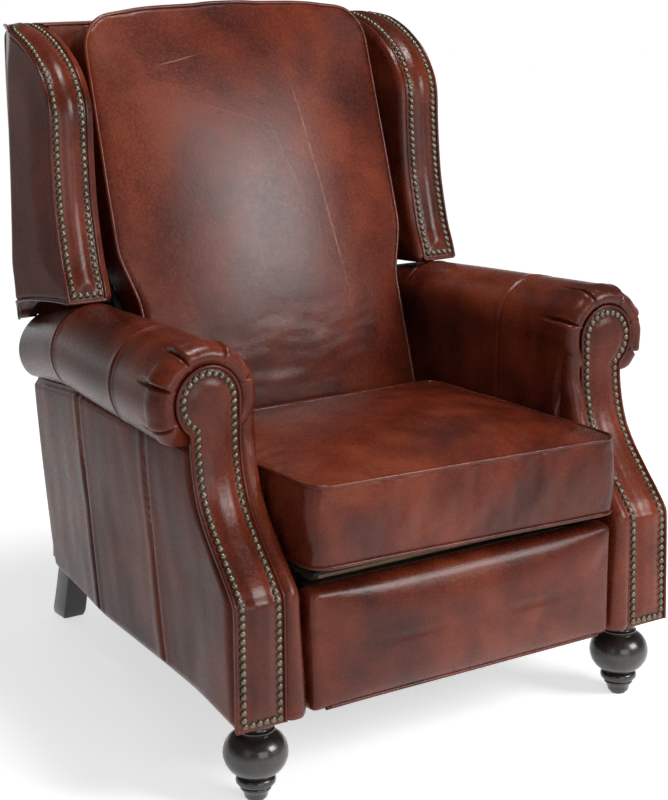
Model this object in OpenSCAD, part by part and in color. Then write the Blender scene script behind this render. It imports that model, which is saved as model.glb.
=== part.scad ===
// Wingback push-back recliner: padded leather over a wooden frame, on a steel mechanism.
// Millimetres, +Z up, the front faces -Y. The origin is on the floor under the middle of
// the chair. Left and right are as seen from the front, and the chair is symmetric in X.

/* [Base] */
// Height of the underside of the base above the floor
base_z = 122; // [112:1:135]
// Distance from the origin forward to the front of the arm facings
front_y = 431; // [425:1:440]
// Distance from the origin back to the rear ends of the arms
arm_end_y = 335; // [325:1:345]
// Distance from the origin back to the face of the outside back
rear_y = 390; // [385:1:395]

/* [Arms] */
// Half the distance between the arms at their front ends
inner_half_front = 277; // [274:1:290]
// How much nearer the middle the arms stand at their rear ends
inner_taper = 13; // [9:1:14]
// Width of the inner arm pad that shows beside the facing
front_pad_w = 39; // [34:1:44]
// Width of the upholstered strip on the front of each arm
facing_w = 77; // [72:1:84]
// Radius of the round head of the facing
cap_r = 50; // [48:1:53]
// Height of the centre of the round head
cap_z = 558; // [552:1:560]
// Height of the knee, where the facing turns back
knee_z = 303; // [295:1:312]
// Height of the neck, where the facing is upright again
neck_z = 500; // [490:1:508]
// Distance from the origin forward to the neck
neck_y = 315; // [310:1:322]
// Radius of the arm roll behind the facing
roll_front_r = 81; // [77:1:84]
// Radius of the arm roll at its rear end
roll_rear_r = 62; // [58:1:64]

/* [Back] */
// Lean of the back cushion from the upright, in degrees
back_lean = 17.6; // [16.6:0.1:18.2]
// Height of the lower end of the wings above the floor
wing_z = 634; // [632:1:645]
// Height of the top of the wings above the floor
wing_top_z = 1048; // [1030:1:1060]
// Distance from the origin back to the foot of the wing facings
wing_y = 100; // [96:1:106]
// Width of the nailed facing on the front of each wing
wing_facing_w = 65; // [60:1:66]
// Thickness of the border of the back cushion
back_border = 75; // [68:1:76]
// Rise of the middle of the back cushion over its border
back_crown = 44; // [30:1:46]

/* [Seat] */
// Height of the flat bottom of the seat cushion above the floor
seat_z = 315; // [315:1:322]
// Thickness of the border of the seat cushion
seat_border = 122; // [110:1:130]
// Rise of the middle of the seat cushion over its border
seat_crown = 30; // [18:1:36]
// Distance from the origin forward to the front of the seat cushion
seat_front_y = 440; // [432:1:445]
// Distance from the origin back to the rear of the seat cushion
seat_rear_y = 8; // [-10:1:10]

/* [Footrest] */
// Height of the top of the footrest panel, closed
footrest_top = 300; // [296:1:301]
// Thickness of the padding on the footrest panel
footrest_pad_t = 34; // [28:1:36]
// Length of each steel link between its end pivots
link_l = 142; // [138:1:143]
// Angle of the folded links from the direction in which they open, in degrees
fold_angle = 79; // [77:0.5:80]

/* [Nails and feet] */
// Diameter of a nail head
nail_d = 10.4; // [9:0.1:10.8]
// Distance between neighbouring nails
nail_pitch = 11.1; // [11:0.1:14]
// Largest diameter of the turned front feet
bun_d = 93; // [84:1:96]
// Thickness of a square rear leg where it meets the base
leg_t = 42; // [38:1:46]

/* [Hidden] */

// Overrun of every cut past the face that it opens
over = 1;
// Gap between neighbouring solids that don't touch face to face
gap = 0.4;
// How square the crown of a cushion is
crown_power = 2.4;
// Running clearance of a pin in its hole, on the radius
pin_gap = 0.08;
// Facets of a full circle, and of a small one
round_fn = 64;
small_fn = 24;

// Leather colours, woods and metals
leather = [0.36, 0.13, 0.08];
dark_wood = [0.09, 0.07, 0.06];
pale_wood = [0.72, 0.56, 0.36];
steel = [0.30, 0.31, 0.33];
nail_metal = [0.42, 0.38, 0.30];
cloth = [0.12, 0.12, 0.12];

// Widths that follow the distance between the arms
inner_half_rear = inner_half_front - inner_taper;
seat_side_gap = 6;
seat_half_front = inner_half_front - seat_side_gap;
seat_half_rear = inner_half_rear - seat_side_gap;
back_frame_half = inner_half_rear - seat_side_gap;
back_draw = 8;
back_low_half = back_frame_half - back_draw;
mechanism_w = 44;
seat_rail_half = seat_half_front - mechanism_w;

// Arms: the facing strip, its round head, and the line of its front from the side
facing_t = 10;
facing_in = inner_half_front + front_pad_w;
facing_out = facing_in + facing_w;
cap_x = facing_in + cap_r;
knee_set = 3;
knee_y = front_y - knee_set;
// The curve from knee to neck: share of the way forward, share of the way up
sweep_shares = [
    [1, 0], [0.79, 0.134], [0.53, 0.292], [0.31, 0.44], [0.142, 0.6], [0.044, 0.777], [0, 1]
];
sweep = concat(
    [[-front_y, base_z]],
    [for (s = sweep_shares)
        [-neck_y - s[0] * (knee_y - neck_y), knee_z + s[1] * (neck_z - knee_z)]],
    [[-neck_y, cap_z + cap_r + over]]
);

// Arms: the layers from the seat outwards, and the padded parts
lining_t = 12;
lining_z = 300;
front_pad_t = 26;
frame_rear_w = 22;
frame_rear_x = inner_half_rear + frame_rear_w;
post_w = 43;
post_rear_y = 285;
side_t = 10;
roll_mid_y = 100;
roll_mid_in = 31;
roll_mid_x = cap_x - roll_mid_in;
roll_mid_z = 553;
roll_mid_r = 70;
roll_rear_in = 70;
roll_rear_x = cap_x - roll_rear_in;
roll_rear_z = 509;
roll_nose = 26;
seam_front_z = 497;
seam_mid_z = 492;
seam_rear_z = 458;
// The side panel in plan: share of the way back, and how far it has drawn in
side_rear_in_top = 61;
side_rear_in_foot = 94;
side_foot_shares = [
    [0, 0], [0.11, 0.15], [0.22, 0.29], [0.35, 0.385], [0.52, 0.49], [0.67, 0.585],
    [0.84, 0.81], [1, 1]
];
side_top_shares = [
    [0, 0], [0.11, 0.02], [0.22, 0.05], [0.35, 0.1], [0.52, 0.24], [0.67, 0.41],
    [0.84, 0.7], [1, 1]
];
side_up_shares = [0.2, 0.97];

// Wings: the front line of the facing, from its foot over the top
wing_facing_t = 8;
outside_t = 12;
back_plane_y = rear_y - outside_t;
wing_depth = back_plane_y - wing_y;
wing_h = wing_top_z - wing_z;
wing_shares = [
    [0, 0], [0.07, 0.11], [0.13, 0.256], [0.162, 0.365], [0.187, 0.546], [0.198, 0.69],
    [0.245, 0.775], [0.342, 0.86], [0.496, 0.932], [0.665, 0.98], [0.827, 1], [0.93, 1]
];
wing_line = [for (s = wing_shares) [wing_y + s[0] * wing_depth, wing_z + s[1] * wing_h]];
// The lower edge from the rear forwards, an arch over the arm roll
arch_drop = 78;
arch_shares = [
    [1, 1], [0.881, 0.95], [0.845, 0.69], [0.784, 0.385], [0.683, 0.154], [0.54, 0.026],
    [0.36, 0]
];
arch_line = [for (s = arch_shares) [wing_y + s[0] * wing_depth, wing_z - s[1] * arch_drop]];
wing_rear_drop = 18;
wing_set = 5;
wing_in = facing_in - wing_set;
wing_out = wing_in + wing_facing_w;
wing_lining_w = 25;
wing_ply_set = 7;
wing_ply_x = wing_in + wing_ply_set;
wing_ply_t = 12;
wing_block_y = 100;
wing_block_z = 640;
wing_rear_w = 29;
wing_rear_in_x = wing_in + wing_rear_w;
back_side_gap = 14;
back_half = wing_ply_x - wing_lining_w - back_side_gap;
wing_taper_y = 300;

// Back: the plane of the frame's front edges, on which the cushion rests
back_foot_y = 94;
back_foot_z = 340;
back_low_len = 283;
back_wide_len = 335;
back_len = 738;
back_top_r = 100;
back_low_r = 22;
back_top_rise = 16;
back_cell = 71;
web_t = 1.5;
web_w = 55;
web_count = 7;
wing_block_x = back_frame_half;
back_ply_t = 18;
back_top_z = 1034;
back_low_z = 262;
back_heel_y = 160;
back_rail_h = 45;
back_rail_t = 36;
outside_low_z = 250;
outside_top_z = 1044;
outside_top_r = 40;

// Seat: the box frame, webbing, deck and cushion
seat_corner_r = 42;
seat_rear_r = 20;
seat_draw = 6;
deck_t = 4;
deck_in = 19;
deck_half = seat_half_front - deck_in;
deck_front_y = 404;
seat_rail_t = 22;
seat_rail_h = 34;
seat_frame_front_y = 378;
seat_web_w = 46;
seat_web_count = 5;
seat_rail_top = seat_z - deck_t - 2 * web_t - gap;

// Mechanism: plates and links in layers, measured from the middle of the chair
plate_x = seat_rail_half;
plate_t = 3;
link_t = 3;
link_w = 18;
layer_gap = 2.4;
first_x = plate_x + plate_t + layer_gap;
cross_x = first_x + link_t + layer_gap;
bracket_x = cross_x + link_t + layer_gap;
bracket_h = 54;
pin_r = 4;
rivet_r = 6.5;
rivet_t = 1.6;
tong_tilt = 6;
tong_y = 262;
tong_z = 280;
open_angle = 14;
tube_r = 8;
tube_share = 0.9;
tong_dir = [-cos(tong_tilt), sin(tong_tilt)];
tong_down = [-sin(tong_tilt), -cos(tong_tilt)];
tong_root = [-tong_y, tong_z];
step = link_l * cos(fold_angle);
drop = link_l * sin(fold_angle);
open_drop = link_l * sin(open_angle);
// Pivots of the folded linkage: upper ends, lower ends and crossings
function upper(i) = tong_root + i * step * tong_dir;
function lower(i) = upper(i) + drop * tong_down;
function crossing(i) = (upper(i) + lower(i + 1)) / 2;

// Back pivot and slides
pivot_y = 250;
pivot_z = 330;
pivot_r = 5;
plate_arm_h = 30;
plate_rear_y = 60;
plate_nose = 27;
plate_ear = 18;
plate_drop = 36;
glide = 30;
slide_in = 2;
slide_x = inner_half_rear - slide_in;
slide_web = 4;
slide_flange = 8;
slide_t = 3;
slide_z = 230;
slide_h = 50;
slide_front_y = 250;
slide_rear_y = 92;
runner_w = 5.5;
runner_front_y = 210;
runner_rear_y = 56;
runner_post_r = 8;
runner_post_in = 36;
cleat_front_y = 235;
cleat_rear_y = 80;
cleat_h = 60;

// Footrest panel
board_t = 12;
footrest_side_gap = 10;
footrest_half = inner_half_front - footrest_side_gap;
board_in = 5;
board_half = footrest_half - board_in;
footrest_low = 124;
footrest_face_y = 428;
footrest_pad_sunk = 2;
board_rear_y = footrest_face_y - footrest_pad_t - board_t + footrest_pad_sunk;
footrest_crown = 8;
board_top_gap = 3;
pad_low_r = 8;
pad_top_r = 14;
pad_cell = 48;
corner_n = 3;

// Base rails, rear panel, legs and feet
rail_t = 43;
rear_rail_front_y = 300;
cross_rail_front_y = 140;
cross_rail_w = 60;
base_back_t = 12;
base_back_set = 2;
base_back_y = rear_y + base_back_set;
base_back_h = 140;
base_back_half = inner_half_rear - slide_in;
dust_t = 1.5;
dust_front_y = 150;
foot_in = 22;
foot_x = facing_in + foot_in;
foot_y = 385;
glide_r = 12;
glide_t = 3;
leg_in = 22;
leg_x = back_frame_half - leg_in;
leg_reach = 36;
leg_foot_t = 48;
leg_back_y = 362;

// Nails
nail_h = 3;
nail_shank_r = 0.9;
nail_shank = 5;
nail_inset = 9.5;

// Helpers: extrude an outline drawn in the side view, or one drawn in the front view
module from_side(x0, x1) {
    translate([x0, 0, 0]) rotate([90, 0, 90]) linear_extrude(x1 - x0) children();
}
module from_front(y0, y1) {
    translate([0, y1, 0]) rotate([90, 0, 0]) linear_extrude(y1 - y0) children();
}
module pair() {
    children();
    mirror([1, 0, 0]) children();
}
module block(lo, hi) {
    translate(lo) cube(hi - lo);
}

// The line l moved behind itself by t, and the band between the two
function reverse(l) = [for (i = [len(l) - 1:-1:0]) l[i]];
function seg_normal(a, b) = [b[1] - a[1], a[0] - b[0]] / norm(b - a);
function behind(l, t) = [
    for (i = [0:len(l) - 1])
        let (
            last = len(l) - 1,
            n1 = i == 0 ? seg_normal(l[0], l[1]) : seg_normal(l[i - 1], l[i]),
            n2 = i == last ? n1 : seg_normal(l[i], l[i + 1])
        )
        l[i] + t * (n1 + n2) / (1 + n1 * n2)
];
function band(l, t) = concat(l, reverse(behind(l, t)));
function swap(l) = [for (p = l) [p[1], p[0]]];

// A corner of radius r between three points, as n + 1 points of an arc
function unit(v) = v / norm(v);
function corner(a, b, c, r, n) =
    let (
        u = unit(a - b),
        v = unit(c - b),
        half = acos(u * v) / 2,
        centre = b + unit(u + v) * r / sin(half),
        p = b + u * r / tan(half),
        q = b + v * r / tan(half)
    )
    r == 0 ? [b] : [for (i = [0:n])
        let (m = p + (q - p) * i / n)
        centre + unit(m - centre) * r];
function rounded(l, radii, n) = [
    for (i = [0:len(l) - 1])
        each corner(l[(i + len(l) - 1) % len(l)], l[i], l[(i + 1) % len(l)], radii[i], n)
];
// Points added so that no side of the closed outline l is longer than most
function divided(l, most) = [
    for (i = [0:len(l) - 1])
        let (a = l[i], b = l[(i + 1) % len(l)], n = max(1, ceil(norm(b - a) / most)))
        each [for (k = [0:n - 1]) a + (b - a) * k / n]
];

// A closed skin over rings of equally many points, with a fan at each end
module loft(rings) {
    n = len(rings[0]);
    last = len(rings) - 1;
    function mean(r) = [for (k = [0:2]) [for (p = r) p[k]] * [for (p = r) 1 / n]];
    points = concat([for (r = rings) each r], [mean(rings[0]), mean(rings[last])]);
    sides = [
        for (k = [0:last - 1], j = [0:n - 1])
            let (a = k * n + j, b = k * n + (j + 1) % n)
            each [[a, a + n, b + n], [a, b + n, b]]
    ];
    caps = [
        for (j = [0:n - 1])
            let (h = (j + 1) % n)
            each [[len(points) - 2, j, h], [len(points) - 1, last * n + h, last * n + j]]
    ];
    polyhedron(points, concat(sides, caps), convexity = 8);
}

// A sheet between an outside grid a and an inside grid b, rows along Y and columns up
module thick_sheet(a, b) {
    ni = len(a) - 1;
    nj = len(a[0]) - 1;
    function id(i, j) = i * (nj + 1) + j;
    shift = (ni + 1) * (nj + 1);
    function quad(p, q, r, s) = [[p, q, r], [p, r, s]];
    faces = concat(
        [for (i = [0:ni - 1], j = [0:nj - 1]) each concat(
            quad(id(i, j), id(i, j + 1), id(i + 1, j + 1), id(i + 1, j)),
            quad(shift + id(i, j), shift + id(i + 1, j),
                shift + id(i + 1, j + 1), shift + id(i, j + 1)))],
        [for (i = [0:ni - 1]) each concat(
            quad(id(i, 0), id(i + 1, 0), shift + id(i + 1, 0), shift + id(i, 0)),
            quad(id(i + 1, nj), id(i, nj), shift + id(i, nj), shift + id(i + 1, nj)))],
        [for (j = [0:nj - 1]) each concat(
            quad(id(0, j + 1), id(0, j), shift + id(0, j), shift + id(0, j + 1)),
            quad(id(ni, j), id(ni, j + 1), shift + id(ni, j + 1), shift + id(ni, j)))]
    );
    polyhedron(concat([for (r = a) each r], [for (r = b) each r]), faces, convexity = 8);
}

// A crowned cushion: the outline shrinks about its middle from level to level, and the
// levels after the last flat one rise smoothly towards the middle of both directions
module crowned(outline, middle, half, levels, crown) {
    function bulge(q) = (1 - pow(min(1, abs(q[0]) / half[0]), crown_power))
        * (1 - pow(min(1, abs(q[1]) / half[1]), crown_power));
    loft([for (v = levels) [for (p = outline)
        let (q = (p - middle) * v[0])
        [middle[0] + q[0], middle[1] + q[1], v[1] + v[2] * crown * bulge(q)]]]);
}

// Points at one pitch along a path, each with the direction that its nail points in
function run_length(l) = [
    for (i = 0, c = 0; i < len(l);
        c = c + (i < len(l) - 1 ? norm(l[i + 1] - l[i]) : 0), i = i + 1) c
];
function along(l, run, s) =
    let (i = min(len(l) - 2, len([for (c = run) if (c <= s) c]) - 1))
    l[i] + (l[i + 1] - l[i]) * (s - run[i]) / (run[i + 1] - run[i]);
function spaced(l) =
    let (run = run_length(l), n = floor(run[len(run) - 1] / nail_pitch))
    [for (k = [0:n - 1]) along(l, run, (k + 0.5) * run[len(run) - 1] / n)];
module nail() {
    head_r = (pow(nail_d / 2, 2) + pow(nail_h, 2)) / (2 * nail_h);
    union() {
        intersection() {
            translate([0, 0, nail_h - head_r]) sphere(r = head_r, $fn = round_fn);
            cylinder(h = nail_h + over, r = nail_d / 2 + over, $fn = small_fn);
        }
        translate([0, 0, -nail_shank]) cylinder(h = nail_shank, r = nail_shank_r, $fn = small_fn);
    }
}
// Nails on the points of a path; the line of the front gives how each one leans
module nail_row(path, line) {
    for (p = spaced(path)) {
        i = max([for (k = [0:len(line) - 2]) if (line[k][1] <= p[2] + gap) k]);
        n = seg_normal(line[i], line[i + 1]);
        translate(p) rotate([atan2(n[0], -n[1]), 0, 0]) nail();
    }
}

// Half the distance between the arm linings at y, and the height of the seam at y
function inner_x(y) = inner_half_front
    + (inner_half_rear - inner_half_front) * (y + front_y) / (arm_end_y + front_y);
function seam_z(y) = lookup(y,
    [[-neck_y, seam_front_z], [roll_mid_y, seam_mid_z], [arm_end_y, seam_rear_z]]);
function plan_quad(y0, y1, in0, in1, out0, out1) =
    [[in0, y0], [out0, y0], [out1, y1], [in1, y1]];

// Turned front foot: neck, bun, collar and a tapered toe
bun_z = 69;
bun_h = 60;
neck_r = 22;
collar_r = 28.5;
collar_z = 30;
collar_h = 12;
ring_r = 23;
ring_z = 20;
toe_r = 17;
bun_angle = 62;
bun_n = 5;
collar_angle = 70;
collar_n = 3;
module front_foot() {
    bun = [for (i = [-bun_n:bun_n]) let (a = bun_angle * i / bun_n)
        [bun_d / 2 * cos(a), bun_z + bun_h / 2 * sin(a)]];
    collar = [for (i = [-collar_n:collar_n]) let (a = collar_angle * i / collar_n)
        [collar_r - collar_h / 2 * (1 - cos(a)),
        collar_z + collar_h / 2 * sin(a)]];
    color(dark_wood) rotate_extrude($fn = round_fn) polygon(concat(
        [[0, glide_t], [toe_r, glide_t], [ring_r, ring_z]],
        collar, bun, [[neck_r, bun_z + bun_h / 2], [neck_r, base_z], [0, base_z]]));
}
module place_front_foot() {
    translate([foot_x, -foot_y, 0]) front_foot();
}
module front_right_foot() {
    place_front_foot();
}
module front_left_foot() {
    mirror([1, 0, 0]) place_front_foot();
}

// Square rear leg, raked back and tapered towards the floor
module rear_leg() {
    rear = leg_back_y + leg_t + leg_reach;
    outline = [
        [leg_back_y, base_z], [leg_back_y + leg_t, base_z],
        [rear, glide_t], [rear - leg_foot_t, glide_t]
    ];
    color(dark_wood) from_side(leg_x - leg_t / 2, leg_x + leg_t / 2) polygon(outline);
}
module rear_right_leg() {
    rear_leg();
}
module rear_left_leg() {
    mirror([1, 0, 0]) rear_leg();
}

// Nylon glides under the four feet
module foot_glides() {
    leg_mid = leg_back_y + leg_t + leg_reach - leg_foot_t / 2;
    color(cloth) pair() {
        translate([foot_x, -foot_y, 0]) cylinder(h = glide_t, r = glide_r, $fn = small_fn);
        translate([leg_x, leg_mid, 0]) cylinder(h = glide_t, r = glide_r, $fn = small_fn);
    }
}

// Wooden rails between the arms, the low rear panel and the dust cover
function ply_in(y) = inner_x(y) + lining_t;
module rail_between(y0, y1, h) {
    translate([0, 0, base_z]) linear_extrude(h) polygon([
        [-ply_in(y0), y0], [ply_in(y0), y0], [ply_in(min(y1, arm_end_y)), min(y1, arm_end_y)],
        [ply_in(arm_end_y) - over, y1], [over - ply_in(arm_end_y), y1],
        [-ply_in(min(y1, arm_end_y)), min(y1, arm_end_y)]
    ]);
}
module rear_rail() {
    color(pale_wood) rail_between(rear_rail_front_y, base_back_y, rail_t);
}
module cross_rail() {
    y0 = -cross_rail_front_y;
    y1 = y0 + cross_rail_w;
    color(pale_wood) translate([0, 0, base_z]) linear_extrude(rail_t) polygon([
        [-ply_in(y0), y0], [ply_in(y0), y0], [ply_in(y1), y1], [-ply_in(y1), y1]
    ]);
}
module base_back_panel() {
    color(leather) block([-base_back_half, base_back_y, base_z],
        [base_back_half, base_back_y + base_back_t, base_z + base_back_h]);
}
module dust_cover() {
    color(cloth) block([-inner_half_rear, -dust_front_y, base_z - dust_t],
        [inner_half_rear, leg_back_y - gap, base_z]);
}

// Wooden cleats on the arm frames, and the channels that the seat slides in
module mechanism_cleats() {
    y0 = -cleat_front_y;
    y1 = cleat_rear_y;
    color(pale_wood) pair() translate([0, 0, slide_z - cleat_h / 2]) linear_extrude(cleat_h)
        polygon([[slide_x, y0], [ply_in(y0), y0], [ply_in(y1), y1], [slide_x, y1]]);
}
module slide_rails() {
    x0 = slide_x - slide_web - slide_flange;
    lo = slide_z - slide_h / 2;
    hi = slide_z + slide_h / 2;
    color(steel) pair() difference() {
        block([x0, -slide_front_y, lo], [slide_x, slide_rear_y, hi]);
        block([x0 - over, -slide_front_y - over, lo + slide_t],
            [slide_x - slide_web, slide_rear_y + over, hi - slide_t]);
    }
}

// Arm frame: a plywood panel and the shaped front post
module arm_frame() {
    line = behind(sweep, front_pad_t + gap);
    post = behind(sweep, facing_t + gap);
    top = [[-neck_y, seam_front_z], [roll_mid_y, seam_mid_z], [arm_end_y, seam_rear_z]];
    z_top = seam_front_z;
    below = function (l) concat([[l[0][0], base_z]],
        [for (p = l) if (p[1] > knee_z && p[1] < z_top) p], [[lookup(z_top, swap(l)), z_top]]);
    front_x = facing_in;
    union() {
        intersection() {
            from_side(inner_half_rear, front_x + over) polygon(concat(
                reverse(below(line)), [[arm_end_y, base_z], top[2], top[1]]));
            linear_extrude(cap_z) polygon([
                [ply_in(-front_y), -front_y], [front_x, -front_y], [front_x, -post_rear_y],
                [frame_rear_x, arm_end_y], [ply_in(arm_end_y), arm_end_y]
            ]);
        }
        from_side(front_x, front_x + post_w) polygon(concat(
            reverse(below(post)), [[-post_rear_y, base_z], [-post_rear_y, z_top]]));
    }
}
module right_arm_frame() {
    color(pale_wood) arm_frame();
}
module left_arm_frame() {
    color(pale_wood) mirror([1, 0, 0]) arm_frame();
}

// Arm lining: the padded leather inner face, with the pad beside the facing
module arm_lining() {
    union() {
        intersection() {
            from_side(inner_half_rear - over, facing_in - gap) polygon([
                [-neck_y, lining_z], [arm_end_y, lining_z], [arm_end_y, seam_rear_z - gap],
                [roll_mid_y, seam_mid_z - gap], [-neck_y, seam_front_z - gap]
            ]);
            linear_extrude(cap_z) polygon([
                [inner_x(-front_y), -front_y], [inner_x(-front_y) + lining_t - gap, -front_y],
                [ply_in(arm_end_y) - gap, arm_end_y], [inner_x(arm_end_y), arm_end_y]
            ]);
        }
        intersection() {
            from_side(inner_half_rear, facing_in - gap) polygon(band(sweep, front_pad_t));
            block([inner_x(-front_y), -front_y - over, base_z],
                [facing_in - gap, -neck_y + front_pad_t, seam_front_z - gap]);
        }
    }
}
module right_arm_lining() {
    color(leather) arm_lining();
}
module left_arm_lining() {
    color(leather) mirror([1, 0, 0]) arm_lining();
}

// Arm roll: the front rises behind the facing, then the roll narrows, turns in and sinks
roll_sides = 32;
roll_nose_shares = [[0, 0], [0.08, 0.5], [0.3, 0.84], [0.62, 0.98], [1, 1]];
roll_rings = concat(
    [for (s = roll_nose_shares) [-neck_y + facing_t + gap + s[0] * roll_nose, cap_x, cap_z,
        cap_r + s[1] * (roll_front_r - cap_r)]],
    [[roll_mid_y, roll_mid_x, roll_mid_z, roll_mid_r],
        [arm_end_y, roll_rear_x, roll_rear_z, roll_rear_r]]
);
function roll_ring(r) = [
    for (j = [0:roll_sides - 1])
        let (a = 360 * j / roll_sides)
        [max(r[1] - r[3] * cos(a), inner_x(r[0]) + gap), r[0],
            max(r[2] + r[3] * sin(a), seam_z(r[0]) + gap)]
];
module arm_roll() {
    loft([for (r = roll_rings) roll_ring(r)]);
}
module right_arm_roll() {
    color(leather) arm_roll();
}
module left_arm_roll() {
    color(leather) mirror([1, 0, 0]) arm_roll();
}

// Side panel: leather on the outside of the arm, drawn in towards the rear and the foot
side_n = len(side_foot_shares) - 1;
function side_in(i, up) = (1 - up) * side_foot_shares[i][1] * side_rear_in_foot
    + up * side_top_shares[i][1] * side_rear_in_top;
side_line = behind(sweep, facing_t + gap);
side_ups = concat([0, side_up_shares[0]],
    [for (p = side_line) let (up = (p[1] - base_z) / (seam_front_z - base_z))
        if (up > side_up_shares[0] && up < side_up_shares[1]) up], [1]);
function side_point(i, j, deep) =
    let (
        up = side_ups[j],
        z0 = base_z + up * (seam_front_z - base_z),
        y0 = lookup(z0, swap(side_line)),
        y = y0 + (arm_end_y - y0) * side_foot_shares[i][0]
    )
    [facing_out - side_in(i, up) - deep, y, base_z + up * (seam_z(y) - base_z)];
module side_panel() {
    thick_sheet(
        [for (i = [0:side_n]) [for (j = [0:len(side_ups) - 1]) side_point(i, j, 0)]],
        [for (i = [0:side_n]) [for (j = [0:len(side_ups) - 1])
            let (closed = facing_out - side_in(i, side_ups[j]) - frame_rear_x - gap)
            side_point(i, j, i == side_n ? max(closed, side_t / 2) : side_t)]]);
}
module right_side_panel() {
    color(leather) side_panel();
}
module left_side_panel() {
    color(leather) mirror([1, 0, 0]) side_panel();
}

// Arm facing: the nailed keyhole strip that follows the curve of the arm front
module arm_facing() {
    intersection() {
        from_side(facing_in, cap_x + cap_r + over) polygon(band(sweep, facing_t));
        from_front(-front_y - over, over - neck_y + facing_t) union() {
            translate([facing_in, base_z]) square([facing_w, cap_z - base_z]);
            translate([cap_x, cap_z]) circle(r = cap_r, $fn = round_fn);
        }
    }
}
module right_arm_facing() {
    color(leather) arm_facing();
}
module left_arm_facing() {
    color(leather) mirror([1, 0, 0]) arm_facing();
}
module arm_nails() {
    in_x = facing_in + nail_inset;
    out_x = facing_out - nail_inset;
    r = cap_r - nail_inset;
    turn = acos((out_x - cap_x) / r);
    arc_steps = 24;
    arc = [for (k = [0:arc_steps]) let (a = 180 - k * (180 + turn) / arc_steps)
        [cap_x + r * cos(a), cap_z + r * sin(a)]];
    levels = [for (s = sweep) if (s[1] > base_z && s[1] < neck_z + over) s[1]];
    low = base_z + nail_inset;
    flat = concat([[in_x, low]], [for (z = levels) [in_x, z]], arc,
        [for (z = reverse(levels)) [out_x, z]], [[out_x, low], [in_x + nail_pitch, low]]);
    path = [for (p = flat) [p[0], lookup(p[1], swap(sweep)), p[1]]];
    nail_row(path, sweep);
}
module right_arm_nails() {
    color(nail_metal) arm_nails();
}
module left_arm_nails() {
    color(nail_metal) mirror([1, 0, 0]) arm_nails();
}

// Seat box: side and cross rails, crossed webbing and the deck that carries the cushion
module seat_side_rails() {
    color(pale_wood) pair() block([seat_rail_half - seat_rail_t, -seat_frame_front_y,
        seat_rail_top - seat_rail_h], [seat_rail_half, -gap, seat_rail_top]);
}
module seat_cross_rails() {
    half = seat_rail_half - seat_rail_t;
    lo = seat_rail_top - seat_rail_h;
    color(pale_wood) {
        block([-half, -seat_frame_front_y, lo],
            [half, seat_rail_t - seat_frame_front_y, seat_rail_top]);
        block([-half, -gap - seat_rail_t, lo], [half, -gap, seat_rail_top]);
    }
}
module seat_webbing() {
    length = seat_frame_front_y - gap;
    pitch_x = (2 * seat_rail_half - seat_web_w) / (seat_web_count - 1);
    pitch_y = (length - seat_web_w) / (seat_web_count - 1);
    color(cloth) for (i = [0:seat_web_count - 1]) {
        x = -seat_rail_half + i * pitch_x;
        block([x, -seat_frame_front_y, seat_rail_top],
            [x + seat_web_w, -gap, seat_rail_top + web_t]);
        y = -seat_frame_front_y + i * pitch_y;
        block([-seat_rail_half, y, seat_rail_top + web_t],
            [seat_rail_half, y + seat_web_w, seat_rail_top + 2 * web_t]);
    }
}
module seat_deck() {
    color(cloth) block([-deck_half, -deck_front_y, seat_z - gap - deck_t],
        [deck_half, seat_rear_y, seat_z - gap]);
}

// Seat cushion: a crowned box cushion whose border is drawn in between its corners
module seat_cushion() {
    side_n = 12;
    corners = [
        [-seat_half_rear, seat_rear_y], [-seat_half_front, -seat_front_y],
        [seat_half_front, -seat_front_y], [seat_half_rear, seat_rear_y]
    ];
    round_plan = rounded(corners, [seat_rear_r, seat_corner_r, seat_corner_r, seat_rear_r], 5);
    plan = divided(round_plan, link_l / 3);
    middle = [0, (seat_rear_y - seat_front_y) / 2];
    top = seat_z + seat_border;
    half = [seat_half_front, seat_front_y / 2 + seat_rear_y / 2];
    slack = seat_draw / seat_front_y;
    color(leather) crowned(plan, middle, half, concat(
        [[0.3, seat_z, 0], [0.7, seat_z, 0], [0.97, seat_z, 0], [1, seat_z + seat_draw, 0]],
        [for (k = [1, 2]) [1 - slack / 2, seat_z + seat_border * k / 3, 0]],
        [[1, top, 0]], [for (s = [0.96, 0.88, 0.74, 0.55, 0.34, 0.12]) [s, top, 1]]), seat_crown);
}

// Steel side plates: front pivots, the slot of the cross links, and the arm to the back
module mechanism_side_plates() {
    slot = [lower(0), tong_root + open_drop * tong_down];
    ear = link_w / 2;
    outline = [
        [-tong_y - plate_nose, tong_z + ear], [-tong_y - plate_nose, lower(0)[1] - ear],
        [lower(0)[0] + plate_ear, lower(0)[1] - ear], [-runner_front_y, slide_z - plate_drop],
        [plate_rear_y, slide_z - runner_post_r - ear], [pivot_y, pivot_z - plate_arm_h / 2],
        [pivot_y, pivot_z + plate_arm_h / 2], [pivot_y - plate_arm_h, pivot_z + plate_arm_h / 2],
        [plate_rear_y, seat_rail_top - gap], [-tong_y, seat_rail_top - gap]
    ];
    color(steel) pair() difference() {
        union() {
            from_side(plate_x, plate_x + plate_t) polygon(outline);
            translate([plate_x, pivot_y, pivot_z]) rotate([0, 90, 0])
                cylinder(h = plate_t, r = plate_arm_h / 2, $fn = round_fn);
        }
        for (p = slot) translate([plate_x - over, p[0], p[1]]) rotate([0, 90, 0])
            cylinder(h = plate_t + 2 * over, r = pin_r + gap, $fn = small_fn);
        translate([plate_x - over, slot[1][0], slot[1][1]])
            rotate([tong_tilt * -1, 0, 0]) translate([0, -pin_r - gap, slot_len() * -1])
            cube([plate_t + 2 * over, 2 * (pin_r + gap), slot_len()]);
        translate([plate_x - over, pivot_y, pivot_z]) rotate([0, 90, 0])
            cylinder(h = plate_t + 2 * over, r = pivot_r + pin_gap, $fn = small_fn);
    }
}
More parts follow.
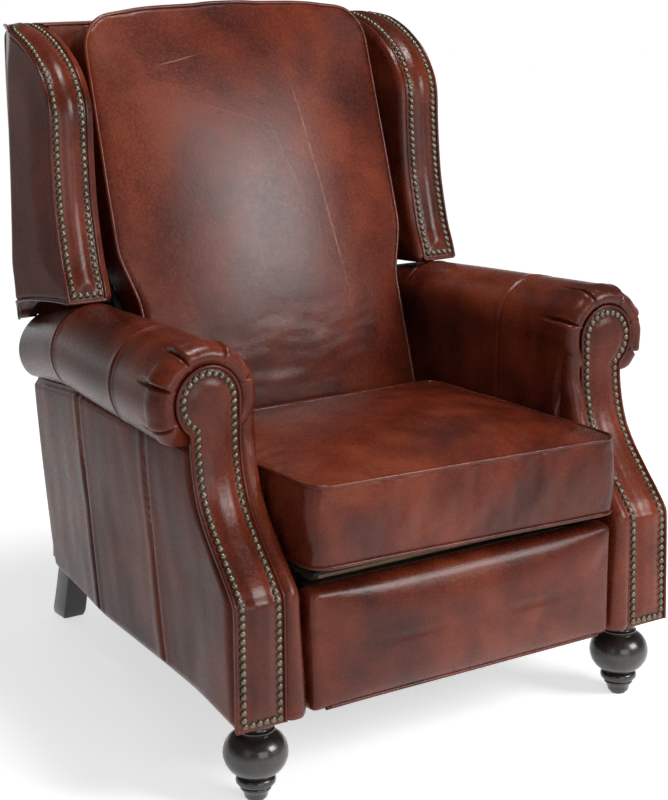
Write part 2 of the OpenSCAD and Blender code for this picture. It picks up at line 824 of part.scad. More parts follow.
function slot_len() = drop - open_drop;

// Runners that slide in the channels, on two spacers each
module seat_runners() {
    x1 = slide_x - slide_web - gap;
    h = slide_h - 2 * slide_t - 2 * gap;
    color(steel) pair() {
        block([x1 - runner_w, -runner_front_y, slide_z - h / 2],
            [x1, runner_rear_y, slide_z + h / 2]);
        for (y = [-runner_front_y + runner_post_in, runner_rear_y - runner_post_in / 2])
            translate([plate_x + plate_t, y, slide_z]) rotate([0, 90, 0])
                cylinder(h = x1 - runner_w - plate_x - plate_t, r = runner_post_r, $fn = small_fn);
    }
}

// A shaft along X through the point p, from x0 to x1, with a rivet head at its outer end
module pin(p, x0, x1, r) {
    translate([x0, p[0], p[1]]) rotate([0, 90, 0]) cylinder(h = x1 - x0, r = r, $fn = small_fn);
}
module rivet(p, x0, x1) {
    pin(p, x0, x1, pin_r);
    pin(p, x1, x1 + rivet_t, rivet_r);
}
module pivot_studs() {
    color(steel) pair() rivet(tong_root, plate_x + plate_t, first_x + link_t + pin_gap * 2);
}

// A flat steel link between two points, with holes at the points that are listed
function capsule(a, b, r) =
    let (t = atan2(b[1] - a[1], b[0] - a[0]))
    concat(
        [for (s = [-90:15:90]) b + r * [cos(t + s), sin(t + s)]],
        [for (s = [90:15:270]) a + r * [cos(t + s), sin(t + s)]]);
module link(a, b, x, holes) {
    difference() {
        from_side(x, x + link_t) polygon(capsule(a, b, link_w / 2));
        for (p = holes) pin(p, x - over, x + link_t + over, pin_r + pin_gap);
    }
}

// The folding tongs: links that point down when folded, and the links that cross them
pin_end = cross_x + link_t + pin_gap * 2;
module first_links() {
    color(steel) pair() union() {
        link(upper(0), lower(1), first_x, [upper(0)]);
        rivet(crossing(0), first_x + link_t, pin_end);
        rivet(lower(1), first_x + link_t, pin_end);
    }
}
module torque_tube() {
    p = upper(0) + tube_share * (lower(1) - upper(0));
    color(steel) translate([-first_x, p[0], p[1]]) rotate([0, 90, 0])
        cylinder(h = 2 * first_x, r = tube_r, $fn = small_fn);
}
module first_cross_links() {
    color(steel) pair() union() {
        link(lower(0), upper(1), cross_x, [crossing(0)]);
        pin(lower(0), plate_x - over, cross_x, pin_r);
        pin(upper(1), first_x - pin_gap * 2, cross_x, pin_r);
        pin(upper(1), first_x - pin_gap * 2 - rivet_t, first_x - pin_gap * 2, rivet_r);
    }
}
module second_links() {
    color(steel) pair() union() {
        link(upper(1), lower(2), first_x, [upper(1), crossing(1)]);
        rivet(lower(2), first_x + link_t, pin_end);
    }
}
module second_cross_links() {
    color(steel) pair() union() {
        link(lower(1), upper(2), cross_x, [lower(1)]);
        for (p = [crossing(1), upper(2)]) {
            pin(p, first_x - pin_gap * 2, cross_x, pin_r);
            pin(p, first_x - pin_gap * 2 - rivet_t, first_x - pin_gap * 2, rivet_r);
        }
    }
}
module third_links() {
    color(steel) pair() union() {
        link(upper(2), crossing(2), first_x, [upper(2)]);
        rivet(crossing(2), first_x + link_t, pin_end);
    }
}
module third_cross_links() {
    color(steel) pair() union() {
        link(lower(2), upper(3), cross_x, [lower(2), crossing(2)]);
        rivet(upper(3), cross_x + link_t, bracket_x + link_t + pin_gap * 2);
    }
}

// Footrest panel: board, padded leather front and the brackets on the links
module footrest_board() {
    color(pale_wood) block([-board_half, -board_rear_y - board_t, footrest_low + gap],
        [board_half, -board_rear_y, footrest_top - board_top_gap]);
}
module footrest_pad() {
    mid = [0, (footrest_low + footrest_top) / 2];
    plan = divided(rounded([
        [-footrest_half, footrest_low], [footrest_half, footrest_low],
        [footrest_half, footrest_top], [-footrest_half, footrest_top]
    ], [pad_low_r, pad_low_r, pad_top_r, pad_top_r], corner_n), pad_cell);
    t = footrest_pad_t - footrest_crown - footrest_pad_sunk - gap;
    color(leather) translate([0, -board_rear_y - board_t - gap, 0]) rotate([90, 0, 0])
        crowned(plan, mid, [footrest_half, (footrest_top - footrest_low) / 2], concat(
            [[0.3, 0, 0], [0.99, 0, 0], [1, t / 8, 0], [1, t * 0.8, 0], [0.985, t, 0]],
            [for (s = [0.94, 0.84, 0.66, 0.4, 0.15]) [s, t, 1]]), footrest_crown);
}
module footrest_brackets() {
    g = upper(3);
    low = g[1] - bracket_h;
    color(steel) pair() difference() {
        union() {
            from_side(bracket_x, bracket_x + link_t) polygon([
                [-board_rear_y, low], [g[0], g[1] - link_w / 2], [g[0], g[1] + link_w / 2],
                [-board_rear_y, g[1] + link_w / 2 - over]
            ]);
            pin(g, bracket_x, bracket_x + link_t, link_w / 2);
        }
        pin(g, bracket_x - over, bracket_x + link_t + over, pin_r + pin_gap);
    }
}

// Places its children on the leaning plane of the back frame: X across, Z up the lean
module on_back() {
    translate([0, back_foot_y, back_foot_z]) rotate([-back_lean, 0, 0]) children();
}
function plane_y(z) = back_foot_y + (z - back_foot_z) * tan(back_lean);
function plane_z(y) = back_foot_z + (y - back_foot_y) / tan(back_lean);

// Back frame: two shaped side boards, three rails and webbing across the front
module back_side_frames() {
    color(pale_wood) pair() from_side(back_frame_half - back_ply_t, back_frame_half) polygon([
        [plane_y(back_foot_z - back_rail_h) + gap, back_foot_z - back_rail_h],
        [plane_y(back_top_z) + gap, back_top_z], [back_plane_y, back_top_z],
        [back_plane_y, back_low_z], [back_heel_y, back_low_z]
    ]);
}
module back_rails() {
    half = back_frame_half - back_ply_t;
    for (z = [back_low_z, (back_low_z + back_top_z) / 2, back_top_z - back_rail_h])
        color(pale_wood) block([-half, back_plane_y - back_rail_t, z],
            [half, back_plane_y, z + back_rail_h]);
}
module back_webbing() {
    run = (back_top_z - back_foot_z) / cos(back_lean) - web_w;
    color(cloth) on_back() for (i = [0:web_count - 1])
        block([-back_frame_half, -web_t, i * run / (web_count - 1)],
            [back_frame_half, 0, i * run / (web_count - 1) + web_w]);
}

// Back cushion: narrow between the arms, wide between the wings, crowned at the front
module back_cushion() {
    half = [
        [back_low_half, 0], [back_low_half, back_low_len], [back_half, back_wide_len],
        [back_half, back_len], [back_half / 2, back_len + back_top_rise]
    ];
    outline = concat(half, [for (p = reverse(half)) [-p[0], p[1]]]);
    radii = concat(
        [back_low_r, back_low_r, back_low_r, back_top_r, 0],
        [0, back_top_r, back_low_r, back_low_r, back_low_r]);
    plan = divided(rounded(outline, radii, corner_n + 1), back_cell);
    color(leather) on_back() translate([0, -web_t - gap, 0]) rotate([90, 0, 0])
        crowned(plan, [0, back_len / 2], [back_half, back_len / 2], concat(
            [[0.3, 0, 0], [0.985, 0, 0], [1, back_low_r / 3, 0], [0.995, back_border / 2, 0]],
            [[1, back_border, 0]],
            [for (s = [0.96, 0.88, 0.75, 0.58, 0.38, 0.15]) [s, back_border, 1]]), back_crown);
}

// Outside back: one panel, narrow between the arms and as wide as the wings above them
module outside_back_panel() {
    shoulder = wing_z - arch_drop;
    outline = [
        [-back_frame_half, outside_low_z], [back_frame_half, outside_low_z],
        [back_frame_half, shoulder], [wing_rear_in_x, shoulder],
        [wing_rear_in_x, outside_top_z], [-wing_rear_in_x, outside_top_z],
        [-wing_rear_in_x, shoulder], [-back_frame_half, shoulder]
    ];
    radii = [0, 0, 0, 0, outside_top_r, outside_top_r, 0, 0];
    color(leather) from_front(back_plane_y, rear_y) polygon(rounded(outline, radii, 6));
}

// Wings: closed outline behind the facing, shared by the frame, lining and outer panel
wing_inside = behind(wing_line, wing_facing_t + gap);
wing_body = concat(
    reverse([for (p = wing_inside) if (p[1] > wing_z) p]),
    [[lookup(wing_z, swap(wing_inside)), wing_z]],
    reverse(arch_line),
    [[back_plane_y - gap, wing_top_z - wing_rear_drop - wing_facing_t]]);
function wing_edge(y) = lookup(y, [[wing_taper_y, wing_out], [back_plane_y, wing_rear_in_x]]);
module wing_plan(x0) {
    linear_extrude(wing_top_z + over) polygon([
        [x0, wing_y - over], [wing_out, wing_y - over], [wing_out, wing_taper_y],
        [wing_rear_in_x, back_plane_y - gap], [x0, back_plane_y - gap]
    ]);
}
module wing_frame() {
    union() {
        from_side(wing_ply_x, wing_ply_x + wing_ply_t) polygon(wing_body);
        intersection() {
            from_side(wing_block_x, wing_ply_x) polygon(wing_body);
            from_side(wing_block_x, wing_ply_x) polygon([
                [back_plane_y - gap, wing_block_z], [back_plane_y - wing_block_y, wing_block_z],
                [back_plane_y - wing_block_y, plane_z(back_plane_y - wing_block_y) - gap],
                [plane_y(wing_top_z) + gap, wing_top_z], [back_plane_y - gap, wing_top_z]
            ]);
        }
    }
}
module right_wing_frame() {
    color(pale_wood) wing_frame();
}
module left_wing_frame() {
    color(pale_wood) mirror([1, 0, 0]) wing_frame();
}
module wing_lining() {
    intersection() {
        from_side(wing_ply_x - wing_lining_w, wing_ply_x) polygon(wing_body);
        block([wing_ply_x - wing_lining_w, wing_y - over, wing_z - arch_drop],
            [wing_ply_x, back_plane_y - wing_block_y - gap, wing_top_z]);
    }
}
module right_wing_lining() {
    color(leather) wing_lining();
}
module left_wing_lining() {
    color(leather) mirror([1, 0, 0]) wing_lining();
}
module wing_outer_panel() {
    x0 = wing_ply_x + wing_ply_t;
    intersection() {
        from_side(x0, wing_out) polygon(wing_body);
        wing_plan(x0);
    }
}
module right_wing_outer_panel() {
    color(leather) wing_outer_panel();
}
module left_wing_outer_panel() {
    color(leather) mirror([1, 0, 0]) wing_outer_panel();
}
module wing_facing() {
    intersection() {
        from_side(wing_in, wing_out) polygon(band(wing_line, wing_facing_t));
        wing_plan(wing_in);
    }
}
module right_wing_facing() {
    color(leather) wing_facing();
}
module left_wing_facing() {
    color(leather) mirror([1, 0, 0]) wing_facing();
}
module wing_nails() {
    in_x = wing_in + nail_inset;
    out_x = wing_out - nail_inset;
    last = len(wing_line) - 1;
    foot = [wing_line[0][0], wing_z + nail_inset];
    slope = wing_shares[1][0] * wing_depth / (wing_shares[1][1] * wing_h);
    rise = concat([foot + [slope * nail_inset, 0]],
        [for (i = [1:last - 1]) wing_line[i]]);
    nail_row([for (p = rise) [in_x, p[0], p[1]]], wing_line);
    nail_row([for (p = rise) [wing_edge(p[0]) - nail_inset, p[0], p[1]]], wing_line);
    bottom = [rise[0][0], rise[0][1]];
    nail_row([[in_x + nail_pitch / 2, bottom[0], bottom[1]],
        [out_x - nail_pitch / 2, bottom[0], bottom[1]]], wing_line);
}
module right_wing_nails() {
    color(nail_metal) wing_nails();
}
module left_wing_nails() {
    color(nail_metal) mirror([1, 0, 0]) wing_nails();
}

// Steel brackets on the back frame and the bolts that it turns on
module back_brackets() {
    x0 = plate_x + plate_t + layer_gap;
    x1 = back_frame_half - back_ply_t;
    color(steel) pair() difference() {
        from_side(x0, x1) polygon([
            [pivot_y - plate_arm_h, pivot_z - plate_arm_h],
            [pivot_y + plate_arm_h, pivot_z - plate_arm_h],
            [pivot_y + plate_arm_h, pivot_z + 3 * plate_arm_h],
            [pivot_y - plate_arm_h, pivot_z + 3 * plate_arm_h]
        ]);
        pin([pivot_y, pivot_z], x0 - over, x1 + over, pivot_r);
    }
}
module back_pivot_bolts() {
    x0 = plate_x - gap;
    color(steel) pair() union() {
        pin([pivot_y, pivot_z], x0, back_frame_half - back_ply_t, pivot_r);
        pin([pivot_y, pivot_z], x0 - 2 * rivet_t, x0, rivet_r + rivet_t);
    }
}

front_left_foot();
front_right_foot();
rear_left_leg();
rear_right_leg();
foot_glides();
rear_rail();
cross_rail();
base_back_panel();
dust_cover();
mechanism_cleats();
slide_rails();
left_arm_frame();
right_arm_frame();
left_arm_lining();
right_arm_lining();
left_arm_roll();
right_arm_roll();
left_side_panel();
right_side_panel();
left_arm_facing();
right_arm_facing();
left_arm_nails();
right_arm_nails();
seat_side_rails();
seat_cross_rails();
seat_webbing();
seat_deck();
seat_cushion();
mechanism_side_plates();
seat_runners();
pivot_studs();
first_links();
torque_tube();
first_cross_links();
second_links();
second_cross_links();
third_links();
third_cross_links();
footrest_board();
footrest_pad();
footrest_brackets();
back_side_frames();
back_rails();
back_webbing();
back_cushion();
outside_back_panel();
left_wing_frame();
right_wing_frame();
left_wing_lining();
right_wing_lining();
left_wing_outer_panel();
right_wing_outer_panel();
left_wing_facing();
right_wing_facing();
left_wing_nails();
right_wing_nails();
back_brackets();
back_pivot_bolts();
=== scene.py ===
import math

import bmesh
import bpy
import numpy as np
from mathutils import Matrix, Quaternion, Vector, bvhtree, kdtree, noise


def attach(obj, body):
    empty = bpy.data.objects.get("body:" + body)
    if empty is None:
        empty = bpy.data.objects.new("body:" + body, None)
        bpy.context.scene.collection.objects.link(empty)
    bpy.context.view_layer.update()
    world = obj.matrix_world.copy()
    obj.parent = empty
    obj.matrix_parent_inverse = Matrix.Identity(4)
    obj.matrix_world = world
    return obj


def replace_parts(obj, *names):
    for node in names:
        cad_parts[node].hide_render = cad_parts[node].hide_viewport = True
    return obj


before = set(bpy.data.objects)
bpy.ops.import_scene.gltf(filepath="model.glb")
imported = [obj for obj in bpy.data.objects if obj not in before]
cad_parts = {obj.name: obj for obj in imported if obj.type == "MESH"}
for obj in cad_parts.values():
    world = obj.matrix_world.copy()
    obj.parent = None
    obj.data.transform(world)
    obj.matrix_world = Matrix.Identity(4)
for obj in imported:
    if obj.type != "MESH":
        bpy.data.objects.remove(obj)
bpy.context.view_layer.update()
scene = bpy.context.scene


# ---------------------------------------------------------------- camera and light
# The camera stands at the chair's front left, a little above the arms, and looks down
# seven degrees. A plain pale floor, a white surround and four soft boxes light it.
PHOTO_W, PHOTO_H = 668, 800
CAMERA_AT = Vector((-1.6817, -2.5993, 1.2311))
YAW, PITCH, ROLL = math.radians(33.8), math.radians(7.3), math.radians(-0.15)
FOCAL_PX = 1941.4
CENTRE_PX = (336.5, 161.8)
SENSOR = 36


def placed(name, data, body=None):
    """A new object in the scene, on its body where it has one."""
    obj = bpy.data.objects.new(name, data)
    scene.collection.objects.link(obj)
    if body:
        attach(obj, body)
    return obj


look = Vector((math.sin(YAW) * math.cos(PITCH), math.cos(YAW) * math.cos(PITCH), -math.sin(PITCH)))
camera_data = bpy.data.cameras.new("camera")
camera = placed("camera", camera_data)
camera.location = CAMERA_AT
camera.rotation_euler = (look.to_track_quat("-Z", "Y") @ Quaternion((0, 0, 1), ROLL)).to_euler()
camera_data.sensor_width = SENSOR
camera_data.lens = FOCAL_PX * SENSOR / PHOTO_H
camera_data.shift_x = (PHOTO_W / 2 - CENTRE_PX[0]) / PHOTO_H
camera_data.shift_y = (CENTRE_PX[1] - PHOTO_H / 2) / PHOTO_H
scene.camera = camera
scene.view_settings.view_transform = "Standard"


def soft_box(name, at, aim, width, height, watts):
    lamp = bpy.data.lights.new(name, "AREA")
    lamp.shape = "RECTANGLE"
    lamp.size, lamp.size_y, lamp.energy = width, height, watts
    obj = placed(name, lamp)
    obj.location = at
    obj.rotation_euler = (Vector(aim) - Vector(at)).to_track_quat("-Z", "Y").to_euler()


soft_box("window box", (1.75, -2.75, 2.1), (0, 0, 0.6), 1.35, 1.2, 86)
soft_box("top box", (0.2, -0.4, 2.9), (0, 0, 0.5), 0.8, 0.5, 40)
soft_box("left wall", (-2.8, -1.7, 1.5), (0, 0, 0.5), 1.2, 1.5, 5)
soft_box("front fill", (-0.5, -3.2, 1.1), (0, 0, 0.5), 1.7, 1.3, 20)


def add_node(tree, kind, *inputs, **named):
    """A node's outputs. Its inputs are values, sockets or None; a lower-case name is a setting."""
    node = tree.nodes.new(kind)
    for key in [k for k in named if k[0].islower()]:
        setattr(node, key, named.pop(key))
    pairs = [*zip(inputs, node.inputs)] + [(v, node.inputs[k.replace("_", " ")]) for k, v in named.items()]
    for value, socket in pairs:
        if isinstance(value, bpy.types.NodeSocket):
            tree.links.new(value, socket)
        elif value is not None:
            socket.default_value = value
    return node.outputs


class Graph:
    """The nodes of a material or world, with short calls for those that the finishes share."""

    def __init__(self, owner, coords="Object"):
        self.owner = owner
        owner.use_nodes = True
        self.tree = owner.node_tree
        self.coords = self.add("TexCoord")[coords]

    def add(self, kind, *inputs, **named):
        return add_node(self.tree, "ShaderNode" + kind, *inputs, **named)

    def scaled(self, scale, coords=None):
        return self.add("Mapping", coords or self.coords, Scale=scale)[0]

    def noise(self, scale, detail=4.0, rough=0.55, coords=None):
        return self.add("TexNoise", coords or self.coords, Scale=scale, Detail=detail, Roughness=rough)[0]

    def warp(self, scale, amount):
        drift = self.add("TexNoise", self.coords, Scale=scale)["Color"]
        return self.add("VectorMath", drift, (amount, amount, amount), self.coords, operation="MULTIPLY_ADD")[0]

    def cells(self, scale, coords):
        return self.add("TexVoronoi", coords, Scale=scale, feature="F1")["Distance"]

    def math(self, op, a, b=0.0):
        return self.add("Math", a, b, operation=op)[0]

    def span(self, value, lo, hi, out_lo=0.0, out_hi=1.0, kind="SMOOTHSTEP"):
        return self.add("MapRange", value, lo, hi, out_lo, out_hi, interpolation_type=kind)[0]

    def ramp(self, value, *stops):
        colour = self.add("ValToRGB", value)[0]
        band = colour.node.color_ramp
        for k, (at, shade) in ((0, stops[0]), (1, stops[-1])):
            band.elements[k].position, band.elements[k].color = at, (*shade, 1)
        for at, shade in stops[1:-1]:
            band.elements.new(at).color = (*shade, 1)
        return colour

    def mix(self, amount, a, b):
        mixed = self.add("Mix", amount, data_type="RGBA")[2]
        for value, socket in ((a, mixed.node.inputs[6]), (b, mixed.node.inputs[7])):
            if isinstance(value, bpy.types.NodeSocket):
                self.tree.links.new(value, socket)
            else:
                socket.default_value = (*value, 1)
        return mixed

    def bump(self, height, strength, distance, under=None):
        return self.add("Bump", Height=height, Strength=strength, Distance=distance, Normal=under)[0]

    def finish(self, colour, rough, normal, **fixed):
        """The finished material: colour and roughness are sockets or plain values."""
        inputs = self.tree.nodes["Principled BSDF"].inputs
        if not isinstance(colour, bpy.types.NodeSocket):
            colour = (*colour, 1)
        for name, value in (("Base Color", colour), ("Roughness", rough), ("Normal", normal), *fixed.items()):
            if isinstance(value, bpy.types.NodeSocket):
                self.tree.links.new(value, inputs[name])
            else:
                inputs[name.replace("_", " ")].default_value = value
        return self.owner


def finish_of(name):
    return Graph(bpy.data.materials.new(name))


def seen_rays(g, faded):
    """1 for camera, glossy and transmission rays, and the strength, faded but for the camera."""
    path = g.add("LightPath")
    camera_ray = path["Is Camera Ray"]
    shown = g.math("MAXIMUM", g.math("MAXIMUM", camera_ray, path["Is Glossy Ray"]), path["Is Transmission Ray"])
    return shown, g.math("MAXIMUM", camera_ray, faded)


# The backdrop is white to the camera and in reflections; above it, reflections show
# the dim ceiling of the studio.
g = Graph(bpy.data.worlds.new("surround"), "Generated")
scene.world = g.owner
ceiling = g.span(g.add("SeparateXYZ", g.coords)[2], 0.0, 0.22, 1.0, 0.12, "LINEAR")
shown, strength = seen_rays(g, ceiling)
seen = g.add("Background", (1, 1, 1, 1), strength)[0]
fill = g.add("Background", (0.95, 0.97, 1.0, 1), 0.24)[0]
g.tree.links.new(g.add("MixShader", shown, fill, seen)[0], g.tree.nodes["World Output"].inputs[0])

# The floor is white paper. Reflections lose it where it ends, two metres from the chair.
FLOOR_HALF, FLOOR_Z = 9, -0.0005
floor_mesh = bpy.data.meshes.new("floor")
floor_corners = [(FLOOR_HALF * x, FLOOR_HALF * y, FLOOR_Z) for x, y in ((-1, -1), (1, -1), (1, 1), (-1, 1))]
floor_mesh.from_pydata(floor_corners, [], [(0, 1, 2, 3)])
floor = placed("floor", floor_mesh)
g = finish_of("pale floor")
away = g.add("VectorMath", g.coords, operation="LENGTH")["Value"]
level = g.span(away, 0.9, 4.5, 0.60, 0.82, "LINEAR")
shown, strength = seen_rays(g, g.span(away, 0.7, 2.1, 1.0, 0.25, "LINEAR"))
glow = g.add("Emission", None, g.math("MULTIPLY", strength, level))[0]
dark = g.add("Emission", None, 0.0)[0]
g.finish((0.86, 0.86, 0.86), 0.6, (0, 0, 0))
lit = g.add("AddShader", g.tree.nodes["Principled BSDF"].outputs[0], g.add("MixShader", shown, dark, glow)[0])[0]
g.tree.links.new(lit, g.tree.nodes["Material Output"].inputs[0])
floor_mesh.materials.append(g.owner)


# ---------------------------------------------------------------- front feet
# Two turned beech feet, stained almost black: a wide bun under a short neck, a collar,
# a thin ring and a toe that tapers to the floor. Each was turned in one piece.
def piece(name, verts, faces, material, body, sharp=38, slot=None):
    mesh = bpy.data.meshes.new(name)
    mesh.from_pydata([tuple(v) for v in verts], [], faces)
    bm = bmesh.new()
    bm.from_mesh(mesh)
    bmesh.ops.remove_doubles(bm, verts=bm.verts, dist=1e-6)
    bmesh.ops.recalc_face_normals(bm, faces=bm.faces)
    if bm.calc_volume(signed=True) < 0:
        bmesh.ops.reverse_faces(bm, faces=bm.faces)
    bm.to_mesh(mesh)
    bm.free()
    mesh.polygons.foreach_set("use_smooth", [True] * len(mesh.polygons))
    mesh.set_sharp_from_angle(angle=math.radians(sharp))
    mesh.materials.append(material)
    return placed(name, mesh, body)


def point_rows(points, label="co"):
    """The x, y, z rows of a mesh's points or normals."""
    flat = np.empty(len(points) * 3)
    points.foreach_get(label, flat)
    return flat.reshape(-1, 3)


def stands_for(obj, node):
    """The piece takes the place of a CAD node."""
    if node:
        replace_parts(obj, node)


def pair(name, built, material, body, slot=None, node=None, sharp=60):
    """A right-hand piece and its mirror image on the left."""
    right = piece(name, *built, material, body, sharp, slot)
    stands_for(right, node)
    mesh = right.data.copy()
    mesh.name = name.replace("right", "left")
    mesh.vertices.foreach_set("co", (point_rows(mesh.vertices) * (-1, 1, 1)).ravel())
    mesh.flip_normals()
    mesh.update()
    left = placed(mesh.name, mesh, body)
    stands_for(left, node and node.replace("right", "left"))


def rings(stack):
    """Faces over rows of closed rings of equal length, with a fan at each end."""
    stack = np.asarray(stack, float)
    n, m = stack.shape[:2]
    verts = np.concatenate([stack.reshape(-1, 3), stack[0].mean(0)[None], stack[-1].mean(0)[None]])
    faces = []
    for k in range(n - 1):
        for j in range(m):
            a, b = k * m + j, k * m + (j + 1) % m
            faces.append((a, b, b + m, a + m))
    for j in range(m):
        h = (j + 1) % m
        faces.append((n * m, h, j))
        faces.append((n * m + 1, (n - 1) * m + j, (n - 1) * m + h))
    return verts, faces


g = finish_of("espresso varnish")
foot_grain = g.noise(9, 6, 0.6, g.scaled((6, 6, 0.9)))
espresso_varnish = g.finish(
    g.ramp(foot_grain, (0.3, (0.008, 0.0065, 0.0055)), (0.52, (0.016, 0.012, 0.010)), (0.72, (0.032, 0.022, 0.016))),
    g.span(g.noise(40, 3), 0.3, 0.7, 0.2, 0.34),
    g.bump(foot_grain, 0.15, 0.0006),
    Coat_Weight=0.35, Coat_Roughness=0.12,
)

FOOT_AT = (0.338, -0.385)
FOOT_PROFILE = [
    (0.0, 0.003), (0.0148, 0.003), (0.0162, 0.0045), (0.0175, 0.010), (0.0205, 0.0155), (0.0222, 0.0172),
    (0.0228, 0.0190), (0.0222, 0.0208), (0.0212, 0.0216), (0.0222, 0.0226), (0.0258, 0.0238), (0.0280, 0.0262),
    (0.0286, 0.0295), (0.0280, 0.0328), (0.0262, 0.0350), (0.0240, 0.0364), (0.0258, 0.0376), (0.0300, 0.0402),
    (0.0372, 0.0462), (0.0428, 0.0545), (0.0458, 0.0630), (0.0465, 0.0695), (0.0458, 0.0762), (0.0430, 0.0846),
    (0.0382, 0.0915), (0.0322, 0.0966), (0.0272, 0.0988), (0.0258, 0.0996), (0.0262, 0.1012), (0.0272, 0.1024),
    (0.0270, 0.1040), (0.0248, 0.1052), (0.0232, 0.1072), (0.0225, 0.1110), (0.0230, 0.1219), (0.0, 0.1219),
]
TURNS = 56


def turned(profile, at):
    angle = np.linspace(0, 2 * math.pi, TURNS, endpoint=False)
    stack = [[(at[0] + r * math.cos(a), at[1] + r * math.sin(a), z) for a in angle] for r, z in profile[1:-1]]
    return rings(stack)


pair("front_right_foot_turned", turned(FOOT_PROFILE, FOOT_AT), espresso_varnish, "base", "dark_wood",
     "front_right_foot", sharp=50)


# ---------------------------------------------------------------- rear legs
# Square beech legs raked backwards and stained like the feet. Their long edges are
# eased with a plane and the soles are chamfered, so the finish breaks there.
LEG_X = (0.215, 0.257)
LEG_TOP_Y = (0.362, 0.404)
LEG_FOOT_Y = (0.392, 0.440)
LEG_TOP_Z, LEG_SOLE_Z = 0.1219, 0.003
LEG_EASE, SOLE_CHAMFER = 0.0035, 0.002


def rear_leg():
    stack = []
    for t in np.linspace(0, 1, 14):
        z = LEG_SOLE_Z + t * (LEG_TOP_Z - LEG_SOLE_Z)
        front = LEG_FOOT_Y[0] + (LEG_TOP_Y[0] - LEG_FOOT_Y[0]) * t ** 0.9
        rear = LEG_FOOT_Y[1] + (LEG_TOP_Y[1] - LEG_FOOT_Y[1]) * t ** 0.9
        ease = LEG_EASE + (SOLE_CHAMFER if t == 0 else 0)
        ring = []
        inside, outside = LEG_X
        for cx, cy, start in ((outside, rear, 0), (inside, rear, 90), (inside, front, 180), (outside, front, 270)):
            sx, sy = (1 if start in (0, 270) else -1), (1 if start in (0, 90) else -1)
            for a in np.radians(np.linspace(start, start + 90, 5)):
                ring.append((cx - sx * ease + LEG_EASE * math.cos(a), cy - sy * ease + LEG_EASE * math.sin(a), z))
        stack.append(ring)
    return rings(stack)


pair("rear_right_leg_planed", rear_leg(), espresso_varnish, "base", "dark_wood", "rear_right_leg", sharp=45)


# ---------------------------------------------------------------- glides and dust cover
# Black nylon discs are nailed under the four feet. A thin black cambric sheet is
# stapled under the base and keeps dust out of the mechanism.
def dress(material, *nodes):
    for name in nodes:
        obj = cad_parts[name]
        obj.data.materials.clear()
        obj.data.materials.append(material)


g = finish_of("black nylon")
nylon = g.finish((0.02, 0.02, 0.021), g.span(g.noise(300, 2), 0.3, 0.7, 0.4, 0.55),
                 g.bump(g.noise(500, 2), 0.1, 0.0002))
dress(nylon, "foot_glides")

g = finish_of("black cambric")
cambric = g.finish(
    g.ramp(g.noise(25, 4), (0.3, (0.012, 0.012, 0.013)), (0.7, (0.028, 0.028, 0.03))),
    0.9, g.bump(g.noise(700, 2, 0.6, g.scaled((1, 0.2, 1))), 0.3, 0.0004),
)
dress(cambric, "dust_cover", "seat_deck")


# ---------------------------------------------------------------- wooden frame
# Plywood side panels and beech rails make the hidden frame of the base, the seat box
# and the back, glued and screwed. The plywood, which shows in the gaps beside the
# cushions and under the wings, is coloured black all over as painted shade for those gaps.
g = finish_of("bare beech")
rays = g.noise(14, 5, 0.6, g.scaled((1, 8, 8)))
beech = g.finish(
    g.mix(0.35, g.ramp(rays, (0.3, (0.42, 0.26, 0.13)), (0.7, (0.58, 0.40, 0.22))),
          g.ramp(g.noise(60, 3), (0.3, (0.40, 0.25, 0.13)), (0.7, (0.62, 0.45, 0.27)))),
    g.span(rays, 0.3, 0.7, 0.5, 0.68), g.bump(rays, 0.2, 0.0005),
)
dress(beech, "rear_rail", "cross_rail", "mechanism_cleats", "seat_side_rails", "seat_cross_rails", "back_rails")
# Painted shade: the plywood of the arm, back and wing frames and the footrest board is coloured near black, so that the
# gaps where it shows read as shade.
g = finish_of("plywood blackened as painted shade")
dark_sheets = g.noise(9, 5, 0.6, g.scaled((12, 1, 5)))
shade_black_ply = g.finish(
    g.ramp(dark_sheets, (0.3, (0.010, 0.009, 0.008)), (0.7, (0.022, 0.018, 0.015))),
    g.span(dark_sheets, 0.3, 0.7, 0.6, 0.8), g.bump(dark_sheets, 0.2, 0.0005), Specular_IOR_Level=0.2,
)
dress(shade_black_ply, "left_arm_frame", "right_arm_frame", "back_side_frames", "left_wing_frame", "right_wing_frame",
      "footrest_board")


# ---------------------------------------------------------------- webbing
# Woven black elastic webbing is stretched over the seat box in both directions and
# across the back, and carries the cushions.
g = finish_of("elastic webbing")
ribs = g.noise(260, 1, 0.5, g.scaled((1, 1, 0.2)))
elastic = g.finish(
    g.ramp(ribs, (0.3, (0.014, 0.014, 0.015)), (0.7, (0.05, 0.048, 0.045))),
    0.85, g.bump(ribs, 0.5, 0.0006), Sheen_Weight=0.2,
)
dress(elastic, "seat_webbing", "back_webbing")


# ---------------------------------------------------------------- steel mechanism
# Stamped steel plates and links with a black powder coat, riveted together, and bright
# zinc-plated runners, studs and torque tube.
g = finish_of("black powder coat")
orange_peel = g.noise(420, 2)
powder = g.finish(
    g.ramp(g.noise(18, 4), (0.3, (0.020, 0.020, 0.022)), (0.7, (0.042, 0.042, 0.045))),
    g.span(orange_peel, 0.3, 0.7, 0.34, 0.5), g.bump(orange_peel, 0.25, 0.0004), Metallic=0.35,
)
g = finish_of("zinc plate")
spangle = g.noise(55, 4, 0.6)
zinc = g.finish(
    g.ramp(spangle, (0.3, (0.34, 0.34, 0.35)), (0.7, (0.52, 0.52, 0.53))),
    g.span(spangle, 0.3, 0.7, 0.28, 0.46), g.bump(g.noise(200, 2), 0.1, 0.0003), Metallic=1.0,
)
dress(powder, "mechanism_side_plates", "slide_rails", "first_links", "first_cross_links", "second_links",
      "second_cross_links", "third_links", "third_cross_links", "footrest_brackets", "back_brackets")
dress(zinc, "seat_runners", "pivot_studs", "torque_tube", "back_pivot_bolts")
